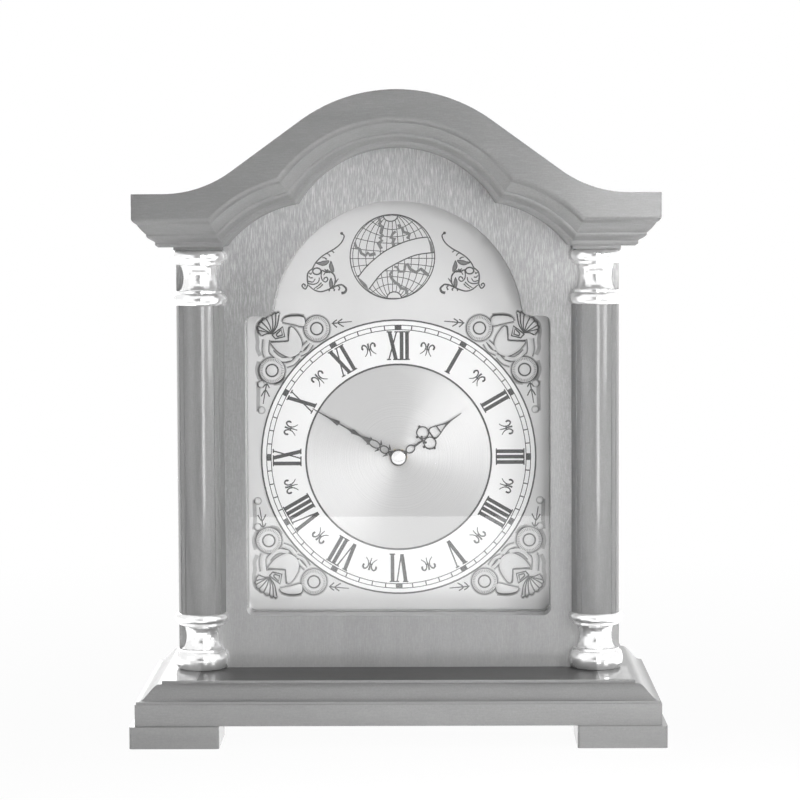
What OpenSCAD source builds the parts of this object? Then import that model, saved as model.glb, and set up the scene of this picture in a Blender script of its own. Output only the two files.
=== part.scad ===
// Mantel clock with a bell top, two half round columns, an arched dial and a hinged back door.
// It stands on z = 0, faces -y, and x = 0 is its middle. All sizes are in millimetres.
// Height, width and depth add up from the inside: loudspeaker, movement and dial set the case round them.

/* [Feet and base] */
// Height of the feet
foot_h = 14.3; // [11:0.1:18]
// Width of a foot along the front
foot_w = 58.5; // [40:0.5:70]
// Depth of a foot
foot_d = 50; // [40:0.5:60]
// Radius of the upright corners of a foot
foot_round = 2; // [1:0.1:5]
// How far the feet stand out past the plinth at the sides
foot_side_out = 3.5; // [1:0.1:6]
// How far the feet stand out past the plinth at front and back
foot_front_out = 3; // [1:0.1:6]
// How far the plinth stands out past the crown at the sides
plinth_out = 0.5; // [0:0.1:2]
// Thickness of the plinth board
plinth_h = 14.2; // [12:0.1:18]
// Height of the base moulding
base_h = 12.8; // [10:0.1:16]
// How far the base moulding steps in from the plinth's edge
base_in = 16.3; // [12:0.1:18]
// Thickness of the dark inlay on the ledge
inlay_t = 0.8; // [0.5:0.1:1.5]

/* [Case] */
// Distance from a column's axis to the side of the case
case_past_column = 15.7; // [15:0.1:20]
// Distance from the plinth's front to the front panel
panel_setback = 67; // [62:0.5:70]
// Thickness of the front panel
panel_t = 18; // [15:0.5:20]
// Thickness of the side panels
side_t = 12; // [9:0.5:14]
// Thickness of the back frame and the back door
back_t = 6; // [5:0.5:8]
// Room between the battery bay and the back door
door_room = 15; // [14:0.1:26]
// Thickness of the bent top board
roof_t = 8; // [5:0.5:10]

/* [Crown] */
// Thickness of the crown's boards, by which it stands out past the case
board_t = 22.9; // [20:0.1:26]
// Height from the window's arch to the top of the bell
window_crown = 71.7; // [66:0.1:80]
// Distance from the plinth's front to the face of the crown
crown_front_in = 2; // [0:0.1:4]
// Rise of the bell from its flat ends to its top
bell_rise = 66.7; // [62:0.1:70]
// How much smaller the radius of the bell's top is than its reach to the hollow feet
bell_top_in = 45.4; // [42:0.1:52]
// Radius of the bell's hollow feet
bell_foot_r = 75; // [68:0.5:80]
// Width of the flat at each end of the bell
bell_flat_w = 20.5; // [18:0.1:24]
// Height of the plain face at the ends of the crown
fascia_end_h = 15.8; // [14:0.1:18]
// Height of the plain face at the top of the bell
fascia_top_h = 17.7; // [15:0.1:20]
// How much larger the plain face's lower arch is than the window's
arch_out = 10.5; // [8:0.1:14]
// Radius of the shoulders beside that arch
shoulder_r = 95; // [85:0.5:110]
// Distance from the side of the case to where the shoulders start
shoulder_in = 26.5; // [24:0.1:30]
// How far inside the arch's radius its cusps with the shoulders lie
cusp_inset = 18.4; // [16:0.1:22]
// Height of the moulding under the plain face
cornice_drop = 18.8; // [17:0.1:20]
// How far that moulding slopes in
cornice_in = 16; // [12:0.1:18]
// Height of its round upper edge
cornice_round_h = 3.8; // [2.5:0.1:4.5]
// Height of its bead
cornice_bead_h = 3.8; // [2.5:0.1:4.5]
// Height of the hollow under the bead
cornice_cove_h = 2.2; // [1.5:0.1:3]
// Height of the reed at its foot
cornice_reed_h = 2.4; // [1.5:0.1:3]
// Thickness of the soffit over the columns
soffit_t = 5; // [3:0.5:8]

/* [Columns] */
// Distance from the window's side to the axis of a column
column_gap = 29.8; // [28:0.1:36]
// Radius of the column shaft
shaft_r = 16; // [14:0.1:17]
// Radius of the rings on the column's metal base and capital
ring_r = 18.3; // [17.4:0.1:19]
// Radius of the waist of the base and capital
waist_r = 11.4; // [10:0.1:13]
// Height of the metal base
foot_cup_h = 37.9; // [34:0.1:42]
// Height of the metal capital
capital_h = 37.1; // [34:0.1:40]
// Height of the wooden tile between capital and soffit
tile_h = 2.6; // [2:0.1:4]
// Radius of a groove along the shaft
groove_r = 0.55; // [0.3:0.05:0.8]

/* [Dial window] */
// Gap between the chapter disc and the window's sides
dial_side = 8.5; // [6:0.1:12]
// Gap between the chapter disc and the window's lower edge
dial_low = 10.6; // [6:0.1:14]
// Gap between the chapter disc and the top of the window's square part
dial_high = 3.4; // [2:0.1:8]
// Radius of the square part's corners
window_round = 5.5; // [4:0.1:8]
// How far the window steps in from its square part to its arch
window_shoulder = 18; // [14:0.1:24]
// Distance of the arch's centre below the square part's top
window_arch_low = 7.5; // [5:0.1:10]
// Radius of the rounded wood between arch and square part
window_lobe_r = 5; // [3:0.1:6]

/* [Dial] */
// Thickness of the glass
glass_t = 3; // [2:0.1:4]
// Thickness of the frame that spaces the dial from the front panel
spacer_t = 12; // [11:0.1:14]
// Thickness of the dial plate
plate_t = 1; // [0.8:0.1:1.5]
// Thickness of the round chapter disc
disc_t = 0.6; // [0.4:0.1:1]
// Radius of the chapter disc
disc_r = 94; // [90:0.1:96]
// Length of the minute hand from the centre to its tip
minute_len = 67.2; // [60:0.1:72]
// Length of the hour hand from the centre to its tip
hour_len = 52.1; // [46:0.1:58]
// Thickness of a hand
hand_t = 0.4; // [0.3:0.05:0.5]
// Hour that the hands show
hour_shown = 1; // [0:1:11]
// Minute that the hands show
minute_shown = 50; // [0:1:59]

/* [Movement] */
// Width of the movement housing
mov_w = 126; // [124:0.5:130]
// Height of the housing above the hand arbor
mov_up = 30; // [28:0.5:36]
// Height of the housing below the hand arbor
mov_down = 54; // [52:0.5:60]
// Depth inside the housing's front tray
mov_in = 10.8; // [10.4:0.1:13]
// Wall of the housing
mov_wall = 2; // [1.6:0.1:2.4]
// Distance between meshed arbors
arbor_gap = 14.4; // [14:0.1:15.5]
// Radius of the hand arbor
arbor_r = 1.4; // [1.2:0.05:1.6]
// Outer radius of the hour wheel's pipe
pipe_r = 2.2; // [2:0.05:2.4]
// Outer radius of the threaded bush
bush_r = 4; // [3.6:0.1:4.5]
// Running clearance of a shaft in its hole, on the radius
fit = 0.05; // [0.03:0.01:0.08]
// Radius of a battery cell
cell_r = 13.1; // [12:0.1:13.4]
// Length of a battery cell
cell_len = 50; // [44:0.1:51]
// Radius of the setting knob
knob_r = 7; // [5:0.1:8]
// Travel of a switch to each side
switch_travel = 4; // [2:0.1:5]

/* [Back] */
// Width of the opening for the back door
door_w = 180; // [150:0.5:200]
// Height of the opening for the back door
door_h = 166; // [150:0.5:180]
// Height of that opening above the base moulding
door_up = 83; // [82:0.5:90]
// Gap between the door and the opening
door_gap = 0.5; // [0.4:0.1:1]
// Radius of the finger hole
finger_r = 10; // [8:0.1:12]
// Radius of the hinge knuckles
knuckle_r = 1.5; // [1.3:0.05:1.5]
// Radius of the hinge pins
pin_r = 0.6; // [0.5:0.05:0.7]
// Height of a hinge
hinge_h = 30; // [24:0.5:40]
// Width of a hinge leaf
leaf_w = 12; // [8:0.1:14]
// Thickness of a hinge leaf
leaf_t = 0.8; // [0.6:0.1:1]
// Radius of the loudspeaker
speaker_r = 34; // [28:0.5:36]
// Height between the loudspeaker and the movement
speaker_gap = 9.3; // [4:0.1:16]
// Depth of the loudspeaker
speaker_d = 24; // [18:0.5:28]
// Radius of a sound hole
sound_hole_r = 2.6; // [1.5:0.1:3]

/* [Hidden] */
$fn = 48;

// Overrun that lets a cut pass clean through
over = 1;
// Points along one arc of an outline
arc_steps = 14;
// Points along one curve of a moulding's section
section_steps = 6;

// Wood, metal and plastic as the photograph shows them
wood = "#9b9b9b";
wood_dark = "#545454";
chrome = "#e8e8e8";
silver = "#dcdcdc";
black = "#2e2e2e";
plastic = "#4a4a4a";
brass = "#b8a070";

// Small sizes inside that the overall sizes take in
washer_t = 1;
cell_slack = 0.3;
bay_in = 2 * (cell_r + cell_slack);
speaker_up = 8;

// Height: base, loudspeaker, movement and dial, then the window round the dial and the crown over it
base_z = foot_h + plinth_h;
case_z = base_z + base_h;
speaker_z = case_z + speaker_up + speaker_r;
dial_z = speaker_z + speaker_r + speaker_gap + mov_down;
sill_z = dial_z - disc_r - dial_low;
shoulder_z = dial_z + disc_r + dial_high;
arch_z = shoulder_z - window_arch_low;
window_hw = disc_r + dial_side;
window_arch_r = window_hw - window_shoulder;
clock_h = arch_z + window_arch_r + window_crown;

// Width: dial, window, columns, case, crown, plinth and feet
column_x = window_hw + column_gap;
case_hw = column_x + case_past_column;
side_hw = case_hw - side_t;
crown_hw = case_hw + board_t;
base_hw = crown_hw + plinth_out;
clock_w = 2 * (base_hw + foot_side_out);

// Depth: the ledge before the panel, the dial, the movement with its cells, and the back
clock_d = 2 * foot_front_out + panel_setback + panel_t + spacer_t + plate_t + washer_t
    + 2 * mov_wall + mov_in + bay_in + door_room + back_t;
base_y0 = foot_front_out - clock_d / 2;
base_y1 = clock_d / 2 - foot_front_out;
panel_y = base_y0 + panel_setback;
panel_back = panel_y + panel_t;
back_y = base_y1 - back_t;
crown_y = base_y0 + crown_front_in;
porch_y = crown_y + board_t;

// Outline of the crown
bell_z = clock_h - bell_rise;
bell_flat_x = crown_hw - bell_flat_w;
bell_top_r = bell_flat_x - bell_top_in;
flat_z = bell_z - fascia_end_h;
soffit_z = flat_z - cornice_drop;
arch_r = window_arch_r + arch_out;
cusp_x = arch_r - cusp_inset;
shoulder_x = case_hw - shoulder_in;

// Screws that hold the feet
foot_screw_r = 1.75;
foot_head_r = 3.5;
foot_head_t = 2.2;
foot_sink = 5;
foot_bite = 9;

// Steps of the base moulding
base_lip_in = 0.8;
base_lip_h = 1.6;
base_quirk = 1.2;
inlay_in = 1.2;
base_top_flat = 1.6;
base_top_h = 1.8;

// How far the bands of the cornice moulding stand out from its slope
cornice_round_out = 0.8;
cornice_swell_out = 0.4;
cornice_bead_out = 1.1;
cornice_cove_out = -0.8;
cornice_reed_out = 0.6;

// Steps of a column's metal base and capital
ring_bulge = 2.6;
foot_ring_h = 12.4;
foot_top_ring_h = 6.6;
capital_ring_h = 8.4;
collar_h = 1.4;
collar_in = 0.7;
groove_turns = [36, 52, 128, 144];

// Dial stack, from the front panel's back face inwards
glass_lap = 6;
glass_slack = 0.3;
plate_lap = 10;
spacer_lap = 14;
plate_y = panel_back + spacer_t;
plate_back = plate_y + plate_t;
disc_y = plate_y - disc_t;
dial_screw_r = 1.2;
dial_head_r = 2.6;
dial_head_t = 1.2;
dial_bite = 7;
dial_screw_lap = 5.5;
dial_screw_in = 20;
dial_screw_turn = 38;
dial_screws_at = [
    for (s = [-1, 1])
        each [
            [s * (window_hw + dial_screw_lap), sill_z + dial_screw_in],
            [s * (window_hw + dial_screw_lap), shoulder_z - dial_screw_in],
            [0, arch_z] + (window_arch_r + dial_screw_lap) * [s * sin(dial_screw_turn), cos(dial_screw_turn)]
        ]
];

// Hand stack, from the chapter disc forwards
nut_t = 1.8;
nut_r = 6;
bush_proud = 0.4;
hand_rest = 0.5;
hand_step = 1.4;
hand_line = 0.85;
cap_r = 4.8;
cap_t = 1.8;
cap_rim_t = 0.7;
hub_r = 5.6;
stud_r = 1.05;
stud_len = 1.2;
nut_y = disc_y - nut_t;
bush_y = nut_y - bush_proud;
hour_y = bush_y - hand_rest - hand_t;
minute_y = hour_y - hand_step - hand_t;
pipe_y = hour_y - hand_t / 2;

// Movement planes
washer_r = 12;
mov_y = plate_back + washer_t;
tray_y = mov_y + mov_wall;
cover_y = tray_y + mov_in;
cover_back = cover_y + mov_wall;
flange_t = 0.6;
flange_r = 6;
mov_hw = mov_w / 2;
mov_z0 = dial_z - mov_down;
mov_z1 = dial_z + mov_up;

// Layers of the train, each from the front face of its wheel
wheel_t = 1.2;
wheel_gap = 1;
end_shake = 0.2;
pinion_over = 0.3;
hour_layer = tray_y + flange_t + end_shake;
minute_layer = hour_layer + wheel_t + wheel_gap;
centre_layer = minute_layer + wheel_t + wheel_gap;
third_layer = centre_layer + wheel_t + wheel_gap;

// Teeth of the wheels and pinions
cannon_teeth = 12;
minute_teeth = 36;
minute_pinion_teeth = 12;
hour_teeth = 48;
set_teeth = 12;
centre_teeth = 80;
third_pinion_teeth = 10;
third_teeth = 60;
minute_module = 2 * arbor_gap / (cannon_teeth + minute_teeth);
hour_module = 2 * arbor_gap / (minute_pinion_teeth + hour_teeth);
centre_module = 2 * arbor_gap / (centre_teeth + third_pinion_teeth);
pressure_angle = 20;
tip_share = 0.8;
root_share = 1.2;
tooth_share = 0.88;
flank_steps = 4;

// Places of the arbors: turns seen from the front, each a whole number of teeth round
minute_turn = 0;
set_turn = -60;
third_turn = 120;
minute_at = [arbor_gap * cos(minute_turn), dial_z + arbor_gap * sin(minute_turn)];
set_at = minute_at + arbor_gap * [cos(set_turn), sin(set_turn)];
third_at = [arbor_gap * cos(third_turn), dial_z + arbor_gap * sin(third_turn)];
small_arbor_r = 0.8;
pivot_r = 0.5;
pivot_deep = 1.1;
pivot_hole = 1.3;
set_arbor_r = 1.2;

// Setting knob
knob_gap = 2;
knob_t = 8;
knob_grip = 5;
knob_flutes = 20;
knob_flute_r = 0.6;

// Fittings inside the housing
post_r = 3;
post_in = 0.8;
mov_screw_r = 1.1;
mov_head_r = 2.4;
mov_head_t = 1.2;
mov_screw_bite = 6;
board_w = 26;
board_h = 40;
board_gap = 3.8;
circuit_t = 1.2;
board_post_r = 2;
drive_w = 12;
drive_h = 24;
drive_at_x = -20.5;
drive_round = 2;
post_inset = mov_wall + post_r - post_in;
post_at = mov_hw - post_inset;
board_x = -post_at + post_r + end_shake;
board_z = dial_z - board_h / 2;
chip = [10, 2, 12];

// Switches on the housing's back
switch_w = 3;
switch_h = 2.6;
switch_proud = 3;
switch_foot = [9, 1.4, 6];
switch_slack = 0.2;
switch_up = 17;
chime_x = 26;
volume_x = 44;

// Battery bay
bay_wall = 1.6;
cell_gap = 0.1;
contact_t = 0.5;
contact_w = 12;
contact_bump = 0.7;
contact_bump_r = 3;
nub_r = 3;
nub_t = 1.5;
bay_hw = cell_len + 2 * cell_gap + contact_t + contact_bump;
bay_z = mov_z0 + bay_wall;
bay_back = cover_back + bay_in;

// Back door, hinges and catch
door_hw = door_w / 2;
door_z = case_z + door_up;
door_round = 3;
hinge_x = -door_hw;
hinge_y = base_y1 + knuckle_r;
hinge_in = 16;
knuckle_gap = 0.2;
leaf_gap = 0.3;
finger_in = 24;
catch_w = 16;
catch_lap = 9;
catch_hold = 12;
catch_d = 6;
catch_gap = 0.3;
strike_w = 7;
strike_h = 12;
strike_t = 0.8;
strike_in = 2;

// Loudspeaker behind the back frame
speaker_rim_t = 1.6;
speaker_wall = 1.2;
speaker_edge = 3;
cone_t = 0.8;
magnet_r = 16;
magnet_d = 9;
sound_rings = 2;
sound_pitch = 9;

function arc(c, r, a0, a1, n = arc_steps) =
    [for (i = [0:n]) let (a = a0 + (a1 - a0) * i / n) c + r * [cos(a), sin(a)]];
function tail(p) = [for (i = [1:len(p) - 1]) p[i]];
function backwards(p) = [for (i = [len(p) - 1:-1:0]) p[i]];
function flip(p) = [for (q = backwards(p)) [-q[0], q[1]]];
function both_sides(p) = concat(p, flip(p));
function ellipse(a, b, n = 2 * arc_steps) = [for (i = [0:n - 1]) [a * cos(360 * i / n), b * sin(360 * i / n)]];
// An S curve that leaves and arrives level along its first coordinate
function s_curve(p, q, n = arc_steps) =
    [for (i = [0:n]) let (t = i / n) [p[0] + (q[0] - p[0]) * t, p[1] + (q[1] - p[1]) * (1 - cos(180 * t)) / 2]];

// Extrudes an outline drawn in (y, z) from x0 to x1
module along_x(x0, x1) {
    translate([x0, 0, 0]) rotate([90, 0, 90]) linear_extrude(x1 - x0) children();
}

// Extrudes an outline drawn in (x, z) from y0 back to y1
module along_y(y0, y1) {
    translate([0, y1, 0]) rotate([90, 0, 0]) linear_extrude(y1 - y0) children();
}

module rod(at, r, y0, y1, n = 48) {
    translate([at[0], y1, at[1]]) rotate([90, 0, 0]) cylinder(r = r, h = y1 - y0, $fn = n);
}

module block(a, b) {
    translate(a) cube(b - a);
}

module round_rect(a, b, r) {
    for (x = [a[0] + r, b[0] - r])
        for (y = [a[1] + r, b[1] - r])
            translate([x, y]) circle(r);
    translate([a[0] + r, a[1]]) square([b[0] - a[0] - 2 * r, b[1] - a[1]]);
    translate([a[0], a[1] + r]) square([b[0] - a[0], b[1] - a[1] - 2 * r]);
}

// The bell: two hollow feet, a round top and the straight lines that touch both
bell_top_at = [0, clock_h - bell_top_r];
bell_foot_at = [bell_flat_x, bell_z + bell_foot_r];
bell_reach = bell_foot_at - bell_top_at;
bell_turn = atan2(bell_reach[0], bell_reach[1]) - acos((bell_top_r + bell_foot_r) / norm(bell_reach));

function bell_half(down) = concat(
    [[crown_hw, bell_z - down]],
    arc(bell_foot_at, bell_foot_r + down, -90, -90 - bell_turn),
    arc(bell_top_at, bell_top_r - down, 90 - bell_turn, 90)
);
function bell(down) = concat(bell_half(down), tail(flip(bell_half(down))));

// The lower edge of the plain face: a level end, a shoulder up to the cusp, and the main arch
arch_at = [0, clock_h - fascia_top_h - arch_r];
cusp = arch_at + [cusp_x, sqrt(arch_r * arch_r - cusp_x * cusp_x)];
spring = [shoulder_x, flat_z];
chord = cusp - spring;
shoulder_at = (cusp + spring) / 2
    + sqrt(shoulder_r * shoulder_r - chord * chord / 4) * [-chord[1], chord[0]] / norm(chord);

// The same edge set down into the moulding: where its level end meets the shoulder, and its cusp
function spring_at(down) =
    let (r = shoulder_r - down, z = flat_z - down)
    [shoulder_at[0] + sqrt(r * r - pow(z - shoulder_at[1], 2)), z];
function cusp_at(down) =
    let (
        way = shoulder_at - arch_at,
        d = norm(way),
        ra = arch_r - down,
        rb = shoulder_r - down,
        along = (ra * ra - rb * rb + d * d) / (2 * d)
    )
    arch_at + along * way / d + sqrt(ra * ra - along * along) * [-way[1], way[0]] / d;
function turn_of(v) = atan2(v[1], v[0]);
function edge_half(down) = concat(
    arc(shoulder_at, shoulder_r - down, turn_of(spring_at(down) - shoulder_at), turn_of(cusp_at(down) - shoulder_at)),
    tail(arc(arch_at, arch_r - down, turn_of(cusp_at(down) - arch_at), 90))
);
function edge_line(hw, down) = concat(
    [[hw, flat_z - down]], edge_half(down), tail(flip(edge_half(down))), [[-hw, flat_z - down]]
);

// Section of the cornice moulding: first how far down, then how far back.
// Each band swells from the slope, or is hollowed into it.
cornice_plain_h = cornice_drop - cornice_round_h - cornice_bead_h - cornice_cove_h - cornice_reed_h;
cornice_bead_at = cornice_round_h + cornice_plain_h;
cornice_cove_at = cornice_bead_at + cornice_bead_h;
cornice_reed_at = cornice_cove_at + cornice_cove_h;
function band(at, h, out) = [
    for (i = [1:section_steps])
        let (t = i / section_steps, down = at + h * t)
        [down, down * cornice_in / cornice_drop - out * sin(180 * t)]
];
cornice_section = concat(
    [[0, 0]],
    band(0, cornice_round_h, cornice_round_out),
    band(cornice_round_h, cornice_plain_h, cornice_swell_out),
    band(cornice_bead_at, cornice_bead_h, cornice_bead_out),
    band(cornice_cove_at, cornice_cove_h, cornice_cove_out),
    band(cornice_reed_at, cornice_reed_h, cornice_reed_out),
    [[cornice_drop, board_t], [0, board_t]]
);

// Lines of the mitres at spring and cusp, run past the moulding at both ends
function past(p, q) = p + (p - q) * cornice_in / norm(p - q);
spring_out = past(spring, spring_at(cornice_drop));
spring_in = past(spring_at(cornice_drop), spring);
cusp_out = past(cusp, cusp_at(cornice_drop));
cusp_in = past(cusp_at(cornice_drop), cusp);

// The moulding turned round the centre of an arc of radius r
module cornice_arc(at, r) {
    translate([at[0], 0, at[1]]) rotate([90, 0, 0])
        rotate_extrude($fn = 180) polygon([for (q = cornice_section) [r - q[0], -crown_y - q[1]]]);
}

module foot(x, y) {
    color(wood) difference() {
        translate([x, y, 0]) linear_extrude(foot_h)
            round_rect([-foot_w / 2, -foot_d / 2], [foot_w / 2, foot_d / 2], foot_round);
        translate([x, y, -over]) cylinder(r = foot_head_r + fit, h = over + foot_sink);
        translate([x, y, 0]) cylinder(r = foot_screw_r + fit, h = foot_h + over);
    }
}

foot_x = clock_w / 2 - foot_w / 2;
foot_y = clock_d / 2 - foot_d / 2;

module foot_front_left() {
    foot(-foot_x, -foot_y);
}

module foot_front_right() {
    foot(foot_x, -foot_y);
}

module foot_back_left() {
    foot(-foot_x, foot_y);
}

module foot_back_right() {
    foot(foot_x, foot_y);
}

module foot_screws() {
    color(silver)
        for (x = [-foot_x, foot_x])
            for (y = [-foot_y, foot_y])
                translate([x, y, foot_sink - foot_head_t]) {
                    cylinder(r = foot_head_r, h = foot_head_t);
                    cylinder(r = foot_screw_r, h = foot_h - foot_sink + foot_head_t + foot_bite);
                }
}

module plinth() {
    color(wood) difference() {
        block([-base_hw, base_y0, foot_h], [base_hw, base_y1, base_z]);
        for (x = [-foot_x, foot_x])
            for (y = [-foot_y, foot_y])
                translate([x, y, foot_h - over]) cylinder(r = foot_screw_r + fit, h = over + foot_bite);
    }
}

// Section of the base moulding: first how far in, then how high
base_section = concat(
    [[base_lip_in, 0], [base_lip_in, base_lip_h]],
    s_curve([base_lip_in + base_quirk, base_lip_h], [base_in - base_top_flat, base_h - base_top_h]),
    [[base_in, base_h - base_top_h], [base_in, base_h]]
);

module base_moulding() {
    color(wood) difference() {
        intersection() {
            along_x(-base_hw, base_hw) polygon(concat(
                [for (q = base_section) [base_y0 + q[0], base_z + q[1]]],
                [[base_y1, case_z], [base_y1, base_z]]
            ));
            along_y(base_y0, base_y1)
                polygon(both_sides([for (q = base_section) [base_hw - q[0], base_z + q[1]]]));
        }
        inlay(over);
    }
}

inlay_x = column_x;

module inlay(up) {
    block([-inlay_x, base_y0 + base_in + inlay_in, case_z - inlay_t], [inlay_x, panel_y, case_z + up]);
}

module base_inlay() {
    color(wood_dark) inlay(0);
}

// The wood between the arch and the square part ends in a small round nose
nose_up = window_arch_low + window_lobe_r;
nose_x = sqrt(pow(window_arch_r + window_lobe_r, 2) - nose_up * nose_up);
nose_a = atan2(nose_up, nose_x);

function arch_line(g, a) = arc([0, arch_z], window_arch_r + g, a, 90, 2 * arc_steps);

// Right half of the dial window, from the sill to the top, with every edge moved out by g
function window_half(g) =
    let (a = g < window_lobe_r ? nose_a : asin((window_arch_low + g) / (window_arch_r + g)))
    concat(
        arc([window_hw - window_round, sill_z + window_round], window_round + g, -90, 0, section_steps),
        arc([window_hw - window_round, shoulder_z - window_round], window_round + g, 0, 90, section_steps),
        g < window_lobe_r ? arc([nose_x, arch_z + nose_up], window_lobe_r - g, 270, 180 + nose_a, section_steps) : [],
        g < window_lobe_r ? tail(arch_line(g, a)) : arch_line(g, a)
    );

module window(g) {
    polygon(concat(window_half(g), tail(flip(window_half(g)))));
}

// Everything under the roof board between x0 and x1
module under_roof(x0, x1) {
    intersection() {
        polygon(concat(bell(roof_t), [[-crown_hw, case_z], [crown_hw, case_z]]));
        translate([x0, case_z]) square([x1 - x0, clock_h]);
    }
}

module front_panel() {
    color(wood) along_y(panel_y, panel_back) difference() {
        under_roof(-case_hw, case_hw);
        window(0);
    }
}

module side_panel(x0) {
    color(wood) along_y(panel_back, base_y1) under_roof(x0, x0 + side_t);
}

module side_panel_left() {
    side_panel(-case_hw);
}

module side_panel_right() {
    side_panel(side_hw);
}

module back_frame() {
    color(wood) difference() {
        along_y(back_y, base_y1) difference() {
            under_roof(-side_hw, side_hw);
            round_rect([-door_hw, door_z], [door_hw, door_z + door_h], door_round);
        }
        rod([0, speaker_z], sound_hole_r, back_y - over, base_y1 + over);
        for (k = [1:sound_rings])
            for (i = [1:6 * k])
                rod(
                    [0, speaker_z] + k * sound_pitch * [cos(60 * i / k), sin(60 * i / k)],
                    sound_hole_r, back_y - over, base_y1 + over
                );
    }
}

module roof_board() {
    color(wood) along_y(porch_y, base_y1) polygon(concat(bell(0), backwards(bell(roof_t))));
}

// The plain face stops at the same round edges that the moulding is turned to
module pediment_board() {
    color(wood) difference() {
        along_y(crown_y, porch_y) polygon(concat(bell(0), [[-crown_hw, flat_z], [crown_hw, flat_z]]));
        rod(arch_at, arch_r, crown_y - over, porch_y + over, 180);
        rod(shoulder_at, shoulder_r, crown_y - over, porch_y + over, 180);
        rod([-shoulder_at[0], shoulder_at[1]], shoulder_r, crown_y - over, porch_y + over, 180);
    }
}

// The cusped moulding under the bell's plain face: level end, shoulder and half the arch, twice
module pediment_half() {
    intersection() {
        along_x(0, crown_hw) polygon([for (q = cornice_section) [crown_y + q[1], flat_z - q[0]]]);
        along_y(crown_y, porch_y)
            polygon([spring_in, spring_out, [crown_hw + over, spring_out[1]], [crown_hw + over, spring_in[1]]]);
        linear_extrude(clock_h) polygon([[0, crown_y], [crown_hw, crown_y], [case_hw, porch_y], [0, porch_y]]);
    }
    intersection() {
        cornice_arc(shoulder_at, shoulder_r);
        along_y(crown_y, porch_y) polygon([spring_in, spring_out, cusp_out, cusp_in]);
    }
}

module pediment_moulding() {
    color(wood) {
        pediment_half();
        mirror([1, 0, 0]) pediment_half();
        intersection() {
            cornice_arc(arch_at, arch_r);
            along_y(crown_y, porch_y)
                polygon(both_sides([cusp_in, cusp_out, [cusp_out[0], clock_h]]));
        }
    }
}

// The moulding's return along the side, mitred to the front, and the plain band over it
module cornice_return() {
    color(wood) {
        along_y(porch_y, base_y1)
            polygon([[crown_hw, bell_z - roof_t], [crown_hw, flat_z], [case_hw, flat_z], [case_hw, bell_z - roof_t]]);
        intersection() {
            along_y(crown_y, base_y1) polygon([for (q = cornice_section) [crown_hw - q[1], flat_z - q[0]]]);
            linear_extrude(clock_h)
                polygon([[crown_hw, crown_y], [crown_hw, base_y1], [case_hw, base_y1], [case_hw, porch_y]]);
        }
    }
}

module cornice_return_left() {
    mirror([1, 0, 0]) cornice_return();
}

module cornice_return_right() {
    cornice_return();
}

module soffit() {
    color(wood) along_y(porch_y, panel_y)
        polygon(concat(
            edge_line(case_hw, cornice_drop - soffit_t),
            backwards(edge_line(case_hw, cornice_drop))
        ));
}

// Half of a turned or extruded column piece, the half in front of the panel
module half_column(x, z0, z1) {
    intersection() {
        translate([x, panel_y, z0]) children();
        block([x - ring_r - over, panel_y - ring_r - over, z0], [x + ring_r + over, panel_y, z1]);
    }
}

// Section of a metal base or capital: two rings with collars and a hollow waist between them
function cup_section(h, low, high) =
    let (
        neck = ring_r - ring_bulge,
        z0 = low + collar_h,
        z1 = h - high - collar_h,
        rim = neck - collar_in
    )
    concat(
        [[0, 0]],
        [for (q = arc([0, 0], 1, -90, 90)) [neck + ring_bulge * q[0], low * (1 + q[1]) / 2]],
        [[neck, z0]],
        [for (q = arc([0, 0], 1, -90, 90)) [rim - (rim - waist_r) * q[0], (z0 + z1) / 2 + (z1 - z0) / 2 * q[1]]],
        [[neck, z1]],
        [for (q = arc([0, 0], 1, -90, 90)) [neck + ring_bulge * q[0], h - high + high * (1 + q[1]) / 2]],
        [[0, h]]
    );

shaft_z0 = case_z + foot_cup_h;
tile_z = soffit_z - tile_h;
shaft_z1 = tile_z - capital_h;

module column_base(x) {
    color(chrome) half_column(x, case_z, shaft_z0)
        rotate_extrude($fn = 64) polygon(cup_section(foot_cup_h, foot_ring_h, foot_top_ring_h));
}

module column_shaft(x) {
    color(wood) half_column(x, shaft_z0, shaft_z1)
        linear_extrude(shaft_z1 - shaft_z0) difference() {
            circle(shaft_r, $fn = 64);
            for (a = groove_turns)
                rotate(-a) translate([shaft_r, 0]) circle(groove_r, $fn = 16);
        }
}

module column_capital(x) {
    color(chrome) half_column(x, shaft_z1, tile_z)
        rotate_extrude($fn = 64) polygon(cup_section(capital_h, capital_ring_h, capital_ring_h));
}

module column_base_left() {
    column_base(-column_x);
}

module column_base_right() {
    column_base(column_x);
}

module column_shaft_left() {
    column_shaft(-column_x);
}

module column_shaft_right() {
    column_shaft(column_x);
}

module column_capital_left() {
    column_capital(-column_x);
}

module column_capital_right() {
    column_capital(column_x);
}

module column_tiles() {
    color(wood)
        for (s = [-1, 1])
            block([s * column_x - shaft_r, panel_y - shaft_r, tile_z], [s * column_x + shaft_r, panel_y, soffit_z]);
}

module glass_pane() {
    color("#c8d0d0", 0.35) along_y(panel_back, panel_back + glass_t) window(glass_lap);
}

module spacer_frame() {
    color(wood) difference() {
        along_y(panel_back, plate_y) difference() {
            window(spacer_lap);
            window(0);
        }
        along_y(panel_back - over, panel_back + glass_t) window(glass_lap + glass_slack);
        for (p = dial_screws_at)
            rod(p, dial_screw_r + fit, plate_y - dial_bite, plate_y + over);
    }
}

module dial_plate() {
    color(silver) difference() {
        along_y(plate_y, plate_back) window(plate_lap);
        rod([0, dial_z], bush_r + fit, plate_y - over, plate_back + over);
        for (p = dial_screws_at)
            rod(p, dial_screw_r + fit, plate_y - over, plate_back + over);
    }
}

module chapter_disc() {
    color(silver) difference() {
        translate([0, plate_y, dial_z]) rotate([90, 0, 0]) cylinder(r = disc_r, h = disc_t, $fn = 128);
        rod([0, dial_z], bush_r + fit, disc_y - over, plate_y + over);
    }
}

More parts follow.
